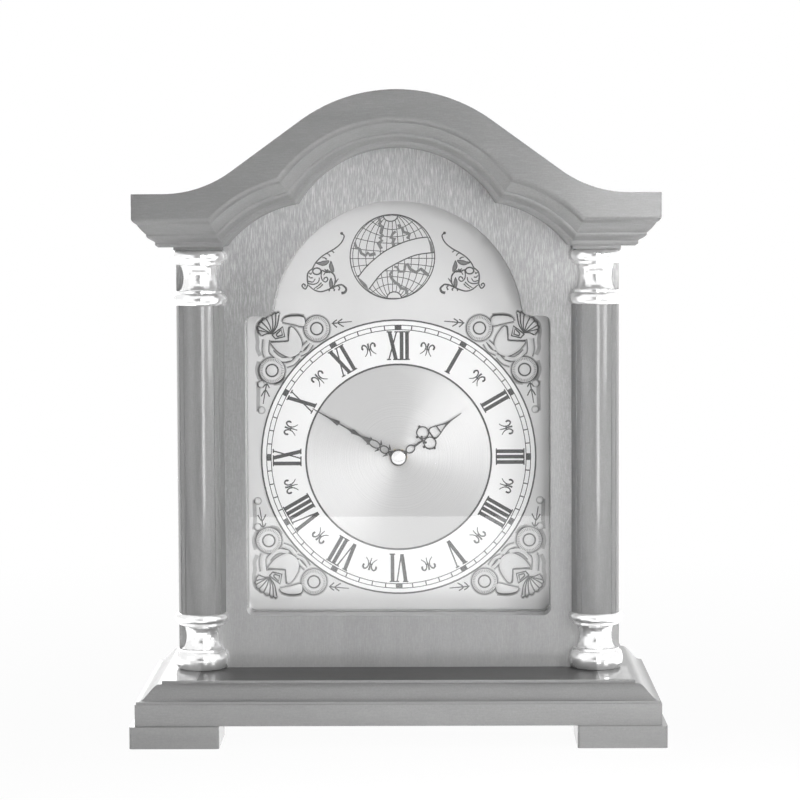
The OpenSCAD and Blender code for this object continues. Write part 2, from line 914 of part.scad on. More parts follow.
module dial_screws() {
    color(silver)
        for (p = dial_screws_at) {
            rod(p, dial_head_r, plate_back, plate_back + dial_head_t);
            rod(p, dial_screw_r, plate_y - dial_bite + end_shake, plate_back + dial_head_t / 2);
        }
}

// A bar that tapers from width w0 at p to width w1 at q
module taper(p, q, w0, w1) {
    n = [q[1] - p[1], p[0] - q[0]] / norm(q - p);
    polygon([p + n * w0 / 2, q + n * w1 / 2, q - n * w1 / 2, p - n * w0 / 2]);
}

// A pierced oval of a hand: centre along the hand, half width, half length, width of its line
module oval(z, a, b, line) {
    translate([0, z]) difference() {
        polygon(ellipse(a, b));
        polygon(ellipse(a - line, b - line));
    }
}

// An outline that is the same on both sides, from shares of a length: half width, then place along
module leaf(len_, shares) {
    polygon(both_sides([for (q = shares) len_ * q]));
}

hour_angle = 30 * (hour_shown + minute_shown / 60);
minute_angle = 6 * minute_shown;

// Places and sizes along the hour hand, as shares of its length
hour_oval_shares = [0.19, 0.056, 0.068];
hour_stem_shares = [0.25, 0.4];
hour_ring_shares = [0.083, 0.444, 0.086];
hour_dot_shares = [[0.172, 0.455], [0.079, 0.35], [0.044, 0.401]];
hour_leaf_shares = [
    [0.075, 0.51], [0.084, 0.545], [0.082, 0.58], [0.066, 0.63], [0.042, 0.69], [0.02, 0.76], [0.008, 0.84], [0.005, 1]
];
hour_slot_shares = [[0.05, 0.53], [0.067, 0.555], [0.064, 0.59], [0.05, 0.63], [0.026, 0.69], [0.002, 0.745]];
hour_bar_shares = [0.054, 0.64];

// Places and sizes along the minute hand, as shares of its length
minute_oval_shares = [[0.164, 0.042, 0.052], [0.279, 0.04, 0.068]];
minute_barb_shares = [[0.05, 0.115, 0.07, 0.145], [0.044, 0.215, 0.066, 0.24], [0.036, 0.325, 0.044, 0.35]];
minute_leaf_shares = [
    [0.01, 0.33], [0.03, 0.345], [0.024, 0.375], [0.011, 0.42], [0.01, 0.46], [0.017, 0.5], [0.026, 0.535],
    [0.014, 0.55], [0.007, 0.6], [0.007, 0.69], [0.028, 0.7], [0.02, 0.735], [0.008, 0.8], [0.004, 1]
];

module hour_hand_outline() {
    line = hand_line;
    circle(hub_r);
    taper([0, hub_r - line], [0, hour_len * (hour_oval_shares[0] - hour_oval_shares[2]) + line], hub_r, line);
    oval(hour_len * hour_oval_shares[0], hour_len * hour_oval_shares[1], hour_len * hour_oval_shares[2], line);
    taper([0, hour_len * hour_stem_shares[0]], [0, hour_len * hour_stem_shares[1]], 2 * line, line);
    for (s = [-1, 1]) {
        ring_at = hour_len * [s * hour_ring_shares[0], hour_ring_shares[1]];
        taper([0, hour_len * hour_stem_shares[1] - line], ring_at - [0, hour_len * hour_ring_shares[2] - line / 2],
            line, line);
        difference() {
            translate(ring_at) circle(hour_len * hour_ring_shares[2]);
            translate(ring_at) circle(hour_len * hour_ring_shares[2] - line);
        }
        for (q = hour_dot_shares)
            translate(hour_len * [s * q[0], q[1]]) circle(line);
    }
    difference() {
        leaf(hour_len, hour_leaf_shares);
        leaf(hour_len, hour_slot_shares);
    }
    taper(hour_len * [-hour_bar_shares[0], hour_bar_shares[1]], hour_len * hour_bar_shares, line, line);
}

module minute_hand_outline() {
    line = hand_line;
    circle(hub_r);
    taper([0, hub_r - line], [0, minute_len * (minute_oval_shares[0][0] - minute_oval_shares[0][2]) + line],
        hub_r, line);
    for (q = minute_oval_shares)
        oval(minute_len * q[0], minute_len * q[1], minute_len * q[2], line);
    for (s = [-1, 1])
        for (q = minute_barb_shares)
            taper(minute_len * [s * q[0] / 2, q[1]], minute_len * [s * q[2], q[3]], 2 * line, line / 2);
    leaf(minute_len, minute_leaf_shares);
}

module hand(y, angle, hole_r) {
    color(black) translate([0, 0, dial_z]) difference() {
        along_y(y, y + hand_t) rotate(-angle) children();
        rod([0, 0], hole_r, y - over, y + hand_t + over);
    }
}

module hour_hand() {
    hand(hour_y, hour_angle, pipe_r + fit) hour_hand_outline();
}

module minute_hand() {
    hand(minute_y, minute_angle, stud_r + fit) minute_hand_outline();
}

// Domed cap nut that holds the minute hand
module hand_nut() {
    color(silver) translate([0, minute_y, dial_z]) rotate([90, 0, 0]) rotate_extrude() polygon(concat(
        [[0, stud_len + end_shake], [stud_r + fit, stud_len + end_shake], [stud_r + fit, 0], [cap_r, 0]],
        [for (q = arc([0, 0], 1, 0, 90)) [cap_r * q[0], cap_rim_t + (cap_t - cap_rim_t) * q[1]]]
    ));
}

function involute(a) = tan(a) * 180 / PI - a;

// Outline of a spur wheel with n teeth of module m, one of them centred at angle phase
function wheel(n, m, phase) =
    let (
        pitch = n * m / 2,
        base = pitch * cos(pressure_angle),
        tip = pitch + tip_share * m,
        root = pitch - root_share * m,
        low = max(base, root),
        half = 90 / n * tooth_share + involute(pressure_angle),
        flank = [
            for (i = [0:flank_steps])
                let (r = low + (tip - low) * i / flank_steps) [r, half - involute(acos(min(1, base / r)))]
        ],
        side = concat(root < base ? [[root, flank[0][1]]] : [], flank)
    )
    [
        for (k = [0:n - 1])
            let (a = phase + 360 * k / n)
                each concat(
                    [for (q = side) q[0] * [cos(a - q[1]), sin(a - q[1])]],
                    [for (q = backwards(side)) q[0] * [cos(a + q[1]), sin(a + q[1])]]
                )
    ];

module gear(at, n, m, phase, y0, y1) {
    along_y(y0, y1) translate(at) polygon(wheel(n, m, phase));
}

// Bores of the threaded bush and the pivots, all from the same arbors
module front_bearings(y, deep) {
    rod([0, dial_z], bush_r + fit, mov_y - over, y + over);
    for (at = [minute_at, set_at, third_at])
        rod(at, pivot_r + fit, y - deep, y + over);
}

module movement_front_case() {
    color(plastic) difference() {
        union() {
            difference() {
                block([-mov_hw, mov_y, mov_z0], [mov_hw, cover_y, mov_z1]);
                block(
                    [mov_wall - mov_hw, tray_y, mov_z0 + mov_wall],
                    [mov_hw - mov_wall, cover_y + over, mov_z1 - mov_wall]
                );
            }
            for (p = mov_screws_at)
                rod(p, post_r, tray_y - over, cover_y);
            for (x = [board_post_r, board_w - board_post_r])
                for (z = [board_post_r, board_h - board_post_r])
                    rod([board_x + x, board_z + z], board_post_r, tray_y - over, tray_y + board_gap);
        }
        front_bearings(tray_y, pivot_hole);
        for (p = mov_screws_at)
            rod(p, mov_screw_r + fit, cover_y - mov_screw_bite, cover_y + over);
    }
}

mov_screws_at = [
    for (x = [-post_at, post_at])
        for (z = [mov_z0 + post_inset, mov_z1 - post_inset])
            [x, z]
];

module movement_back_case() {
    color(plastic) difference() {
        union() {
            block([-mov_hw, cover_y, mov_z0], [mov_hw, cover_back, mov_z1]);
            block(
                [-bay_hw - bay_wall, cover_y, bay_z - bay_wall],
                [bay_hw + bay_wall, bay_back, bay_z + bay_in + bay_wall]
            );
        }
        block([-bay_hw, cover_back, bay_z], [bay_hw, bay_back + over, bay_z + bay_in]);
        for (at = [[0, dial_z], minute_at, third_at])
            rod(at, pivot_r + fit, cover_y - over, cover_y + pivot_hole);
        rod(set_at, set_arbor_r + fit, cover_y - over, cover_back + over);
        for (p = mov_screws_at)
            rod(p, mov_screw_r + fit, cover_y - over, cover_back + over);
        for (x = [chime_x, volume_x])
            block(
                [x - switch_w / 2 - switch_travel - switch_slack, cover_y - over, switch_z - switch_slack],
                [x + switch_w / 2 + switch_travel + switch_slack, cover_back + over, switch_z + switch_h + switch_slack]
            );
    }
}

switch_z = dial_z + switch_up;

module movement_screws() {
    color(silver)
        for (p = mov_screws_at) {
            rod(p, mov_head_r, cover_back, cover_back + mov_head_t);
            rod(p, mov_screw_r, cover_y - mov_screw_bite + end_shake, cover_back + mov_head_t / 2);
        }
}

module movement_washer() {
    color(black) difference() {
        rod([0, dial_z], washer_r, plate_back, mov_y);
        rod([0, dial_z], bush_r + fit, plate_back - over, mov_y + over);
    }
}

module centre_bush() {
    color(brass) difference() {
        union() {
            rod([0, dial_z], bush_r, bush_y, tray_y + flange_t);
            rod([0, dial_z], flange_r, tray_y, tray_y + flange_t);
        }
        rod([0, dial_z], pipe_r + fit, bush_y - over, tray_y + flange_t + over);
    }
}

module bush_nut() {
    color(brass) difference() {
        translate([0, disc_y, dial_z]) rotate([90, 0, 0]) cylinder(r = nut_r, h = nut_t, $fn = 6);
        rod([0, dial_z], bush_r, nut_y - over, disc_y + over);
    }
}

// The hand arbor with its cannon pinion, which drives the motion work
module centre_arbor() {
    color(brass) {
        rod([0, dial_z], stud_r, minute_y - stud_len, minute_y + hand_t + over);
        rod([0, dial_z], arbor_r, minute_y + hand_t, cover_y - end_shake);
        rod([0, dial_z], pivot_r, cover_y - over, cover_y + pivot_deep);
        gear([0, dial_z], cannon_teeth, minute_module, minute_turn,
            minute_layer - pinion_over, minute_layer + wheel_t + pinion_over);
    }
}

module centre_wheel() {
    color(plastic) difference() {
        gear([0, dial_z], centre_teeth, centre_module, third_turn + 180 / centre_teeth,
            centre_layer, centre_layer + wheel_t);
        rod([0, dial_z], arbor_r, centre_layer - over, centre_layer + wheel_t + over);
    }
}

module small_arbor(at, r) {
    rod(at, r, tray_y + end_shake, cover_y - end_shake);
    rod(at, pivot_r, tray_y - pivot_deep, cover_y + pivot_deep);
}

module minute_wheel() {
    color(plastic) {
        small_arbor(minute_at, small_arbor_r);
        gear(minute_at, minute_teeth, minute_module, minute_turn + 180 + 180 / minute_teeth,
            minute_layer, minute_layer + wheel_t);
        gear(minute_at, minute_pinion_teeth, hour_module, minute_turn + 180,
            hour_layer - pinion_over, minute_layer);
    }
}

module hour_wheel() {
    color(plastic) difference() {
        union() {
            gear([0, dial_z], hour_teeth, hour_module, minute_turn + 180 / hour_teeth,
                hour_layer, hour_layer + wheel_t);
            rod([0, dial_z], pipe_r, pipe_y, hour_layer + wheel_t);
        }
        rod([0, dial_z], arbor_r + fit, pipe_y - over, hour_layer + wheel_t + over);
    }
}

module third_wheel() {
    color(plastic) {
        small_arbor(third_at, small_arbor_r);
        gear(third_at, third_pinion_teeth, centre_module, third_turn + 180,
            centre_layer - pinion_over, third_layer);
        gear(third_at, third_teeth, centre_module, 0, third_layer, third_layer + wheel_t);
    }
}

module set_arbor() {
    color(plastic) {
        rod(set_at, set_arbor_r, tray_y + end_shake, cover_back + knob_gap + knob_grip);
        rod(set_at, pivot_r, tray_y - pivot_deep, tray_y + over);
        gear(set_at, set_teeth, minute_module, set_turn + 180,
            minute_layer - pinion_over, minute_layer + wheel_t + pinion_over);
    }
}

module set_knob() {
    y0 = cover_back + knob_gap;
    color(black) difference() {
        rod(set_at, knob_r, y0, y0 + knob_t);
        rod(set_at, set_arbor_r, y0 - over, y0 + knob_grip);
        for (i = [1:knob_flutes])
            rod(set_at + knob_r * [cos(360 * i / knob_flutes), sin(360 * i / knob_flutes)],
                knob_flute_r, y0 - over, y0 + knob_t + over);
    }
}

// Sealed stepping drive: coil, stator and rotor under one moulded cover
module drive_module() {
    color(black) along_y(tray_y, third_layer - wheel_gap / 2)
        round_rect(
            [drive_at_x - drive_w / 2, dial_z],
            [drive_at_x + drive_w / 2, dial_z + drive_h],
            drive_round
        );
}

module circuit_board() {
    y0 = tray_y + board_gap;
    color("#5a6b5a") {
        block([board_x, y0, board_z], [board_x + board_w, y0 + circuit_t, board_z + board_h]);
        translate([board_x + chip[0], y0 + circuit_t, board_z + chip[0]]) cube(chip);
    }
}

module switch(x) {
    y0 = cover_y - switch_slack;
    color(black) {
        block(
            [x - switch_w / 2, y0 - switch_foot[1] / 2, switch_z],
            [x + switch_w / 2, cover_back + switch_proud, switch_z + switch_h]
        );
        translate([x - switch_foot[0] / 2, y0 - switch_foot[1], switch_z + switch_h / 2 - switch_foot[2] / 2])
            cube(switch_foot);
    }
}

module chime_switch() {
    switch(chime_x);
}

module volume_switch() {
    switch(volume_x);
}

cell_at = [cover_back + cell_r + cell_slack, bay_z + cell_r + cell_slack];

module battery_cells() {
    color(silver)
        for (x = [-cell_len - cell_gap, cell_gap])
            translate([x, cell_at[0], cell_at[1]]) rotate([0, 90, 0]) {
                cylinder(r = cell_r, h = cell_len - nub_t);
                cylinder(r = nub_r, h = cell_len);
            }
}

module battery_contacts() {
    color(silver)
        for (s = [-1, 1]) {
            a = s * bay_hw;
            b = s * (bay_hw - contact_t);
            block(
                [min(a, b), cell_at[0] - contact_w / 2, cell_at[1] - contact_w / 2],
                [max(a, b), cell_at[0] + contact_w / 2, cell_at[1] + contact_w / 2]
            );
            translate([s * bay_hw, cell_at[0], cell_at[1]]) rotate([0, -90 * s, 0])
                cylinder(r1 = contact_bump_r, r2 = contact_bump_r / 2, h = contact_t + contact_bump);
        }
}

// Turned section of the loudspeaker: pressed basket with its magnet, open to the back frame
basket_d = speaker_d - magnet_d;
basket_r = speaker_r - speaker_edge;

module speaker_frame() {
    color(black) translate([0, back_y, speaker_z]) rotate([90, 0, 0]) difference() {
        union() {
            cylinder(r = speaker_r, h = speaker_rim_t);
            cylinder(r1 = basket_r, r2 = magnet_r, h = basket_d);
            translate([0, 0, basket_d]) cylinder(r = magnet_r, h = magnet_d);
        }
        translate([0, 0, -over]) cylinder(r = basket_r - speaker_wall, h = over);
        cylinder(r1 = basket_r - speaker_wall, r2 = magnet_r - speaker_wall, h = basket_d);
    }
}

module speaker_cone() {
    r0 = basket_r - speaker_wall;
    r1 = magnet_r - speaker_wall;
    color("#1e1e1e") translate([0, back_y, speaker_z]) rotate([90, 0, 0]) difference() {
        translate([0, 0, cone_t]) cylinder(r1 = r0 - cone_t, r2 = r1, h = basket_d - cone_t);
        cylinder(r1 = r0 - 2 * cone_t, r2 = r1 - cone_t, h = basket_d - cone_t);
    }
}

module back_door() {
    color(wood) difference() {
        along_y(back_y, base_y1)
            round_rect(
                [door_gap - door_hw, door_z + door_gap],
                [door_hw - door_gap, door_z + door_h - door_gap],
                door_round
            );
        rod([door_hw - finger_in, door_z + door_h / 2], finger_r, back_y - over, base_y1 + over);
    }
}

hinge_starts = [door_z + hinge_in, door_z + door_h - hinge_in - hinge_h];
knuckle_h = hinge_h / 3;

// One side of the hinges: s is the side of the leaf, and the spans are its knuckles
module hinge_leaf(s, spans) {
    for (z = hinge_starts)
        translate([hinge_x, 0, z]) difference() {
            union() {
                block(
                    [min(s * (knuckle_r + leaf_gap), s * (knuckle_r + leaf_w)), base_y1, 0],
                    [max(s * (knuckle_r + leaf_gap), s * (knuckle_r + leaf_w)), base_y1 + leaf_t, hinge_h]
                );
                for (k = spans) {
                    z0 = k * knuckle_h + knuckle_gap / 2;
                    h = knuckle_h - knuckle_gap;
                    translate([0, hinge_y, z0]) cylinder(r = knuckle_r, h = h);
                    block(
                        [min(0, s * (knuckle_r + leaf_gap)), base_y1, z0],
                        [max(0, s * (knuckle_r + leaf_gap)), base_y1 + leaf_t, z0 + h]
                    );
                }
            }
            translate([0, hinge_y, -over]) cylinder(r = pin_r + fit, h = hinge_h + 2 * over);
        }
}

module hinge_leaves_case() {
    color(brass) hinge_leaf(-1, [0, 2]);
}

module hinge_leaves_door() {
    color(brass) hinge_leaf(1, [1]);
}

module hinge_pins() {
    color(brass)
        for (z = hinge_starts)
            translate([hinge_x, hinge_y, z]) cylinder(r = pin_r, h = hinge_h);
}

// Magnetic catch on the frame, and the plate on the door that it holds
module door_catch() {
    z = door_z + door_h / 2;
    color(black) {
        block([door_hw - catch_lap, back_y - catch_d, z - catch_w / 2],
            [door_hw + catch_hold, back_y - strike_t - catch_gap, z + catch_w / 2]);
        block([door_hw + door_gap, back_y - catch_d, z - catch_w / 2],
            [door_hw + catch_hold, back_y, z + catch_w / 2]);
    }
}

module strike_plate() {
    x1 = door_hw - door_gap - strike_in;
    z = door_z + door_h / 2;
    color(silver) block([x1 - strike_w, back_y - strike_t, z - strike_h / 2], [x1, back_y, z + strike_h / 2]);
}

foot_front_left();
foot_front_right();
foot_back_left();
foot_back_right();
foot_screws();
plinth();
base_moulding();
base_inlay();
front_panel();
side_panel_left();
side_panel_right();
back_frame();
roof_board();
pediment_board();
pediment_moulding();
cornice_return_left();
cornice_return_right();
soffit();
column_base_left();
column_base_right();
column_shaft_left();
column_shaft_right();
column_capital_left();
column_capital_right();
column_tiles();
glass_pane();
spacer_frame();
dial_plate();
chapter_disc();
dial_screws();
hour_hand();
minute_hand();
hand_nut();
movement_front_case();
movement_back_case();
movement_screws();
movement_washer();
centre_bush();
bush_nut();
centre_arbor();
centre_wheel();
minute_wheel();
hour_wheel();
third_wheel();
set_arbor();
set_knob();
drive_module();
circuit_board();
chime_switch();
volume_switch();
battery_cells();
battery_contacts();
speaker_frame();
speaker_cone();
back_door();
hinge_leaves_case();
hinge_leaves_door();
hinge_pins();
door_catch();
strike_plate();
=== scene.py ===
# Mantel clock with a bell top: camera, studio, finishes and the fine work that the solids leave out.
# Lengths are written in millimetres and turned to metres where the meshes are made.
import math
import bpy
import bmesh
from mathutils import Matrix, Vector


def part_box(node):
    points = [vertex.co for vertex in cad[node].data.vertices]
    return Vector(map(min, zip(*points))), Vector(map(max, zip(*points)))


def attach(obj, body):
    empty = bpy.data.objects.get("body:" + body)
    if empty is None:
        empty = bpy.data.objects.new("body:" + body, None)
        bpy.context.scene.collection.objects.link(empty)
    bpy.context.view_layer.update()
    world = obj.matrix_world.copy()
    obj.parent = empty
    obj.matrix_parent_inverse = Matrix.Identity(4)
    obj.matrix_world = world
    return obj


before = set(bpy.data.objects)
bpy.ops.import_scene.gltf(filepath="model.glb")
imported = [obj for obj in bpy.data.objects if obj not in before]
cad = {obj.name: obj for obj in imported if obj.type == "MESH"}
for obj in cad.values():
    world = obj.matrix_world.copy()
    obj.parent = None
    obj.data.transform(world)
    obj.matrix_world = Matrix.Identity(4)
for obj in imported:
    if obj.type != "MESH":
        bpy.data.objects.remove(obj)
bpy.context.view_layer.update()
scene = bpy.context.scene
MM = 0.001

# Places on the dial, measured from the solids
PLATE_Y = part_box("dial_plate")[0].y / MM
DISC_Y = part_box("chapter_disc")[0].y / MM
DIAL_Z = (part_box("chapter_disc")[0].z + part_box("chapter_disc")[1].z) / 2 / MM

# Radii on the dial: the chapter ring's edges, the minute track, and head and foot of the numerals
RING_OUT, RING_IN = 94.0, 63.2
TRACK_OUT, TRACK_IN = 90.0, 86.9
LETTER_TOP, LETTER_FOOT = 85.4, 66.6

# The photograph's view: its focal length in pixels of the square frame, the camera's place,
# and in degrees its tip from level, its roll and its turn to the clock's middle
FRAME_PX, FOCAL_PX, SENSOR = 800, 2700, 36
CAMERA_AT = (19, -1818.8, 357)
CAMERA_TURN = (90 - 3.2, 0.25, 0.54)


def linear(code):
    """An sRGB hex colour as the linear red, green, blue and alpha that the shaders use."""
    def channel(v):
        return v / 12.92 if v <= 0.04045 else ((v + 0.055) / 1.055) ** 2.4
    return tuple(channel(int(code[i:i + 2], 16) / 255) for i in (1, 3, 5)) + (1.0,)


def place_camera():
    """Just under two metres in front of the clock, a little above the dial, tipped down to the base."""
    lens = bpy.data.cameras.new("photograph_view")
    lens.sensor_width = SENSOR
    lens.lens = SENSOR * FOCAL_PX / FRAME_PX
    lens.shift_y = -0.0641
    lens.clip_start = 0.05
    lens.clip_end = 60
    view = bpy.data.objects.new("photograph_view", lens)
    view.location = Vector(CAMERA_AT) * MM
    view.rotation_euler = [math.radians(turn) for turn in CAMERA_TURN]
    scene.collection.objects.link(view)
    scene.camera = view


place_camera()
scene.view_settings.view_transform = "Standard"


# Shader nodes

def node(owner, kind, inputs=None, stops=None, **settings):
    """Adds one shader node. An input is a number, a colour, another node's output, or the node itself,
    which stands for its first output. Stops are the places and hex colours of a colour ramp."""
    made = owner.node_tree.nodes.new("ShaderNode" + kind)
    for name, value in settings.items():
        setattr(made, name, value)
    for name, value in (inputs or {}).items():
        if isinstance(value, bpy.types.Node):
            value = next(output for output in value.outputs if output.enabled)
        if isinstance(value, bpy.types.NodeSocket):
            owner.node_tree.links.new(value, made.inputs[name])
        else:
            made.inputs[name].default_value = value
    if stops:
        bars = made.color_ramp.elements
        while len(bars) < len(stops):
            bars.new(0.5)
        for bar, (position, code) in zip(bars, stops):
            bar.position = position
            bar.color = linear(code)
    return made


def new_material(name):
    material = bpy.data.materials.new(name)
    material.use_nodes = True
    material.node_tree.nodes.clear()
    return material


def finish_surface(material, inputs):
    """The principled shader with its own numbers, and the material's output."""
    node(material, "OutputMaterial", {"Surface": node(material, "BsdfPrincipled", inputs)})


def in_millimetres(material, stretch=(1, 1, 1), shift=(0, 0, 0)):
    """The object's own coordinates in millimetres, squeezed along each axis by stretch and then shifted."""
    return node(material, "Mapping", {
        "Vector": node(material, "TexCoord").outputs["Object"],
        "Scale": [s / MM for s in stretch], "Location": shift,
    })


# Finishes

def stained_veneer(name, tones, grain, pore_depth=0.35, lacquer=0.3, lacquer_haze=0.25, streaks=0.05, painted_light_heights=None):
    """Open-grained hardwood veneer under grey stain and lacquer.
    Pores are dashes about 0.5 mm wide and 6 mm long that run along the grain, lighter than the wood as far
    as streaks says; flecks of 1 mm mottle it, and broad bands of growth, 20 mm apart, keep each board from
    being one flat tone. Where painted light heights are given, as the two heights in millimetres between which
    they lie, painted light pales the leaf towards its foot and head, and painted glints make its dashes
    fainter low down and stronger towards the head."""
    material = new_material(name)
    pores = [0.14 if axis == grain else 1.8 for axis in "xyz"]
    bands = [0.006 if axis == grain else 0.05 for axis in "xyz"]
    fine = node(material, "TexNoise", {
        "Vector": in_millimetres(material, pores), "Scale": 1.0, "Detail": 3.0, "Roughness": 0.6,
    })
    fleck = node(material, "TexNoise", {
        "Vector": in_millimetres(material, (0.9, 0.9, 0.9)), "Scale": 1.0, "Detail": 3.0, "Roughness": 0.7,
    })
    broad = node(material, "TexNoise", {
        "Vector": in_millimetres(material, bands), "Scale": 1.0, "Detail": 4.0, "Roughness": 0.5,
        "Distortion": 0.6,
    })
    mixed = node(material, "Math", {0: broad, 1: fleck}, operation="ADD")
    mixed = node(material, "Math", {0: mixed, 1: 0.5}, operation="MULTIPLY")
    wood = node(material, "ValToRGB", {"Fac": mixed}, list(zip((0.36, 0.5, 0.64), tones)))
    dashes = node(material, "MapRange", {
        "Value": fine, "From Min": 0.47, "From Max": 0.66, "To Min": 0.0, "To Max": streaks,
    })
    # Painted light: the leaf is painted paler towards its foot and head, and painted glints strengthen its pores
    # towards the head.
    if painted_light_heights:
        height = node(material, "SeparateXYZ", {"Vector": in_millimetres(material)}).outputs["Z"]
        share = node(material, "MapRange", {"Value": height, "From Min": painted_light_heights[0], "From Max": painted_light_heights[1]})
        painted_glint_gain = node(material, "MapRange", {"Value": share, "From Min": 0.7, "To Min": 0.3, "To Max": 1.7})
        dashes = node(material, "Math", {0: dashes, 1: painted_glint_gain}, operation="MULTIPLY")
        part = node(material, "ValToRGB", {"Fac": share}, [
            (0.0, "#8c8c8c"), (0.3, "#484848"), (0.8, "#141414"), (1.0, "#848484"),
        ])
        wood = node(material, "Mix", {"Factor": part, "A": wood, "B": linear("#e4e4e4")}, data_type="RGBA")
    finish_surface(material, {
        "Base Color": node(material, "Mix", {
            "Factor": dashes, "A": wood, "B": linear("#d4d4d4"),
        }, data_type="RGBA"),
        "Roughness": node(material, "MapRange", {"Value": fine, "To Min": 0.4, "To Max": 0.5}),
        "Normal": node(material, "Bump", {"Height": fine, "Strength": pore_depth, "Distance": 0.08 * MM}),
        "Coat Weight": lacquer, "Coat Roughness": lacquer_haze,
    })
    return material


def polished_plating():
    """Chrome plating, buffed: a near mirror, with only a faint haze that widens the smallest glints."""
    material = new_material("polished_chrome_plating")
    haze = node(material, "TexNoise", {
        "Vector": in_millimetres(material, (0.12, 0.12, 0.12)), "Scale": 1.0, "Detail": 2.0,
    })
    finish_surface(material, {
        "Base Color": node(material, "ValToRGB", {"Fac": haze}, [(0.3, "#f6f6f6"), (0.7, "#fdfdfd")]),
        "Roughness": node(material, "MapRange", {"Value": haze, "To Min": 0.09, "To Max": 0.17}),
        "Metallic": 0.72,
    })
    return material


def silvered_plate(name, low, high):
    """Silver-painted sheet, finely pearled: a pale satin grey whose grain, 0.4 mm, only breaks the sheen."""
    material = new_material(name)
    grit = node(material, "TexNoise", {
        "Vector": in_millimetres(material, (2.4, 2.4, 2.4)), "Scale": 1.0, "Detail": 2.0,
    })
    cloud = node(material, "TexNoise", {
        "Vector": in_millimetres(material, (0.03, 0.03, 0.03)), "Scale": 1.0, "Detail": 3.0,
    })
    finish_surface(material, {
        "Base Color": node(material, "ValToRGB", {"Fac": cloud}, [(0.25, low), (0.75, high)]),
        "Roughness": node(material, "MapRange", {"Value": grit, "To Min": 0.45, "To Max": 0.6}),
        "Normal": node(material, "Bump", {"Height": grit, "Strength": 0.25, "Distance": 0.02 * MM}),
        "Metallic": 0.12,
    })
    return material


def spun_dial():
    """The chapter disc: matt silver-white enamel outside, and inside the inner ring a metal centre spun in a
    lathe. Its turning lines lie 0.5 mm apart and throw a fan of bright and dark sectors round the hands."""
    material = new_material("spun_silver_dial")
    parts = node(material, "SeparateXYZ", {"Vector": in_millimetres(material, shift=(0, 0, -DIAL_Z))})
    across = node(material, "CombineXYZ", {"X": parts.outputs["X"], "Y": parts.outputs["Z"]})
    radius = node(material, "VectorMath", {0: across}, operation="LENGTH").outputs["Value"]
    inside = node(material, "Math", {0: radius, 1: RING_IN}, operation="LESS_THAN")
    lines = node(material, "TexNoise", {"W": radius, "Scale": 2.0, "Detail": 2.0}, noise_dimensions="1D")
    turned = node(material, "ValToRGB", {"Fac": lines}, [(0.3, "#c0c0c0"), (0.7, "#d0d0d0")])
    finish_surface(material, {
        "Base Color": node(material, "Mix", {
            "Factor": inside, "A": linear("#f6f6f6"), "B": turned,
        }, data_type="RGBA"),
        "Metallic": node(material, "Math", {0: inside, 1: 0.66}, operation="MULTIPLY"),
        "Roughness": node(material, "MapRange", {"Value": inside, "To Min": 0.5, "To Max": 0.42}),
        "Anisotropic": node(material, "Math", {0: inside, 1: 0.85}, operation="MULTIPLY"),
        "Anisotropic Rotation": 0.25,
        "Tangent": node(material, "Tangent", direction_type="RADIAL", axis="Y"),
    })
    return material


def printing_ink(name, low, high):
    """Screen-printed ink, slightly uneven in patches of a millimetre: it reads as a dark grey, not as a hole."""
    material = new_material(name)
    patch = node(material, "TexNoise", {
        "Vector": in_millimetres(material, (0.8, 0.8, 0.8)), "Scale": 1.0, "Detail": 2.0,
    })
    finish_surface(material, {
        "Base Color": node(material, "ValToRGB", {"Fac": patch}, [(0.3, low), (0.7, high)]), "Roughness": 0.6,
    })
    return material


def painted_hands():
    """Pressed sheet with satin black paint; the paint's orange peel, 1.5 mm, softens the glint."""
    material = new_material("satin_black_paint")
    peel = node(material, "TexNoise", {"Vector": in_millimetres(material, (0.7, 0.7, 0.7)), "Scale": 1.0})
    finish_surface(material, {
        "Base Color": node(material, "ValToRGB", {"Fac": peel}, [(0.3, "#2c2c2c"), (0.7, "#3a3a3a")]),
        "Roughness": 0.38,
        "Normal": node(material, "Bump", {"Height": peel, "Strength": 0.1, "Distance": 0.02 * MM}),
    })
    return material


def window_glass():
    """Polished float glass, clear to the shadow. Its two faces throw back the bright table in front of the
    clock, as a veil over the lower dial."""
    material = new_material("polished_float_glass")
    smear = node(material, "TexNoise", {"Vector": in_millimetres(material, (0.02, 0.02, 0.02)), "Scale": 1.0})
    glass = node(material, "BsdfPrincipled", {
        "Base Color": (1, 1, 1, 1), "IOR": 1.75, "Transmission Weight": 1.0,
        "Roughness": node(material, "MapRange", {"Value": smear, "To Min": 0.0, "To Max": 0.02}),
    })
    node(material, "OutputMaterial", {"Surface": node(material, "MixShader", {
        0: node(material, "LightPath").outputs["Is Shadow Ray"], 1: glass, 2: node(material, "BsdfTransparent"),
    })})
    return material


def moulded_plastic(name, low, high, rough_low, rough_high):
    """Injection-moulded plastic: a spark-eroded texture of 0.6 mm grains, even in colour."""
    material = new_material(name)
    grain = node(material, "TexVoronoi", {"Vector": in_millimetres(material, (1.6, 1.6, 1.6)), "Scale": 1.0})
    finish_surface(material, {
        "Base Color": node(material, "ValToRGB", {"Fac": grain}, [(0.0, low), (0.8, high)]),
        "Roughness": node(material, "MapRange", {"Value": grain, "To Min": rough_low, "To Max": rough_high}),
        "Normal": node(material, "Bump", {"Height": grain, "Strength": 0.3, "Distance": 0.05 * MM}),
    })
    return material


def worked_metal(name, low, high, rough, along):
    """Plain worked metal: turning or rolling lines 0.3 mm apart run across the given axis."""
    material = new_material(name)
    stretch = [3.0 if axis == along else 0.15 for axis in "xyz"]
    lines = node(material, "TexNoise", {"Vector": in_millimetres(material, stretch), "Scale": 1.0, "Detail": 3.0})
    finish_surface(material, {
        "Base Color": node(material, "ValToRGB", {"Fac": lines}, [(0.3, low), (0.7, high)]),
        "Roughness": rough, "Metallic": 1.0,
        "Normal": node(material, "Bump", {"Height": lines, "Strength": 0.15, "Distance": 0.02 * MM}),
    })
    return material


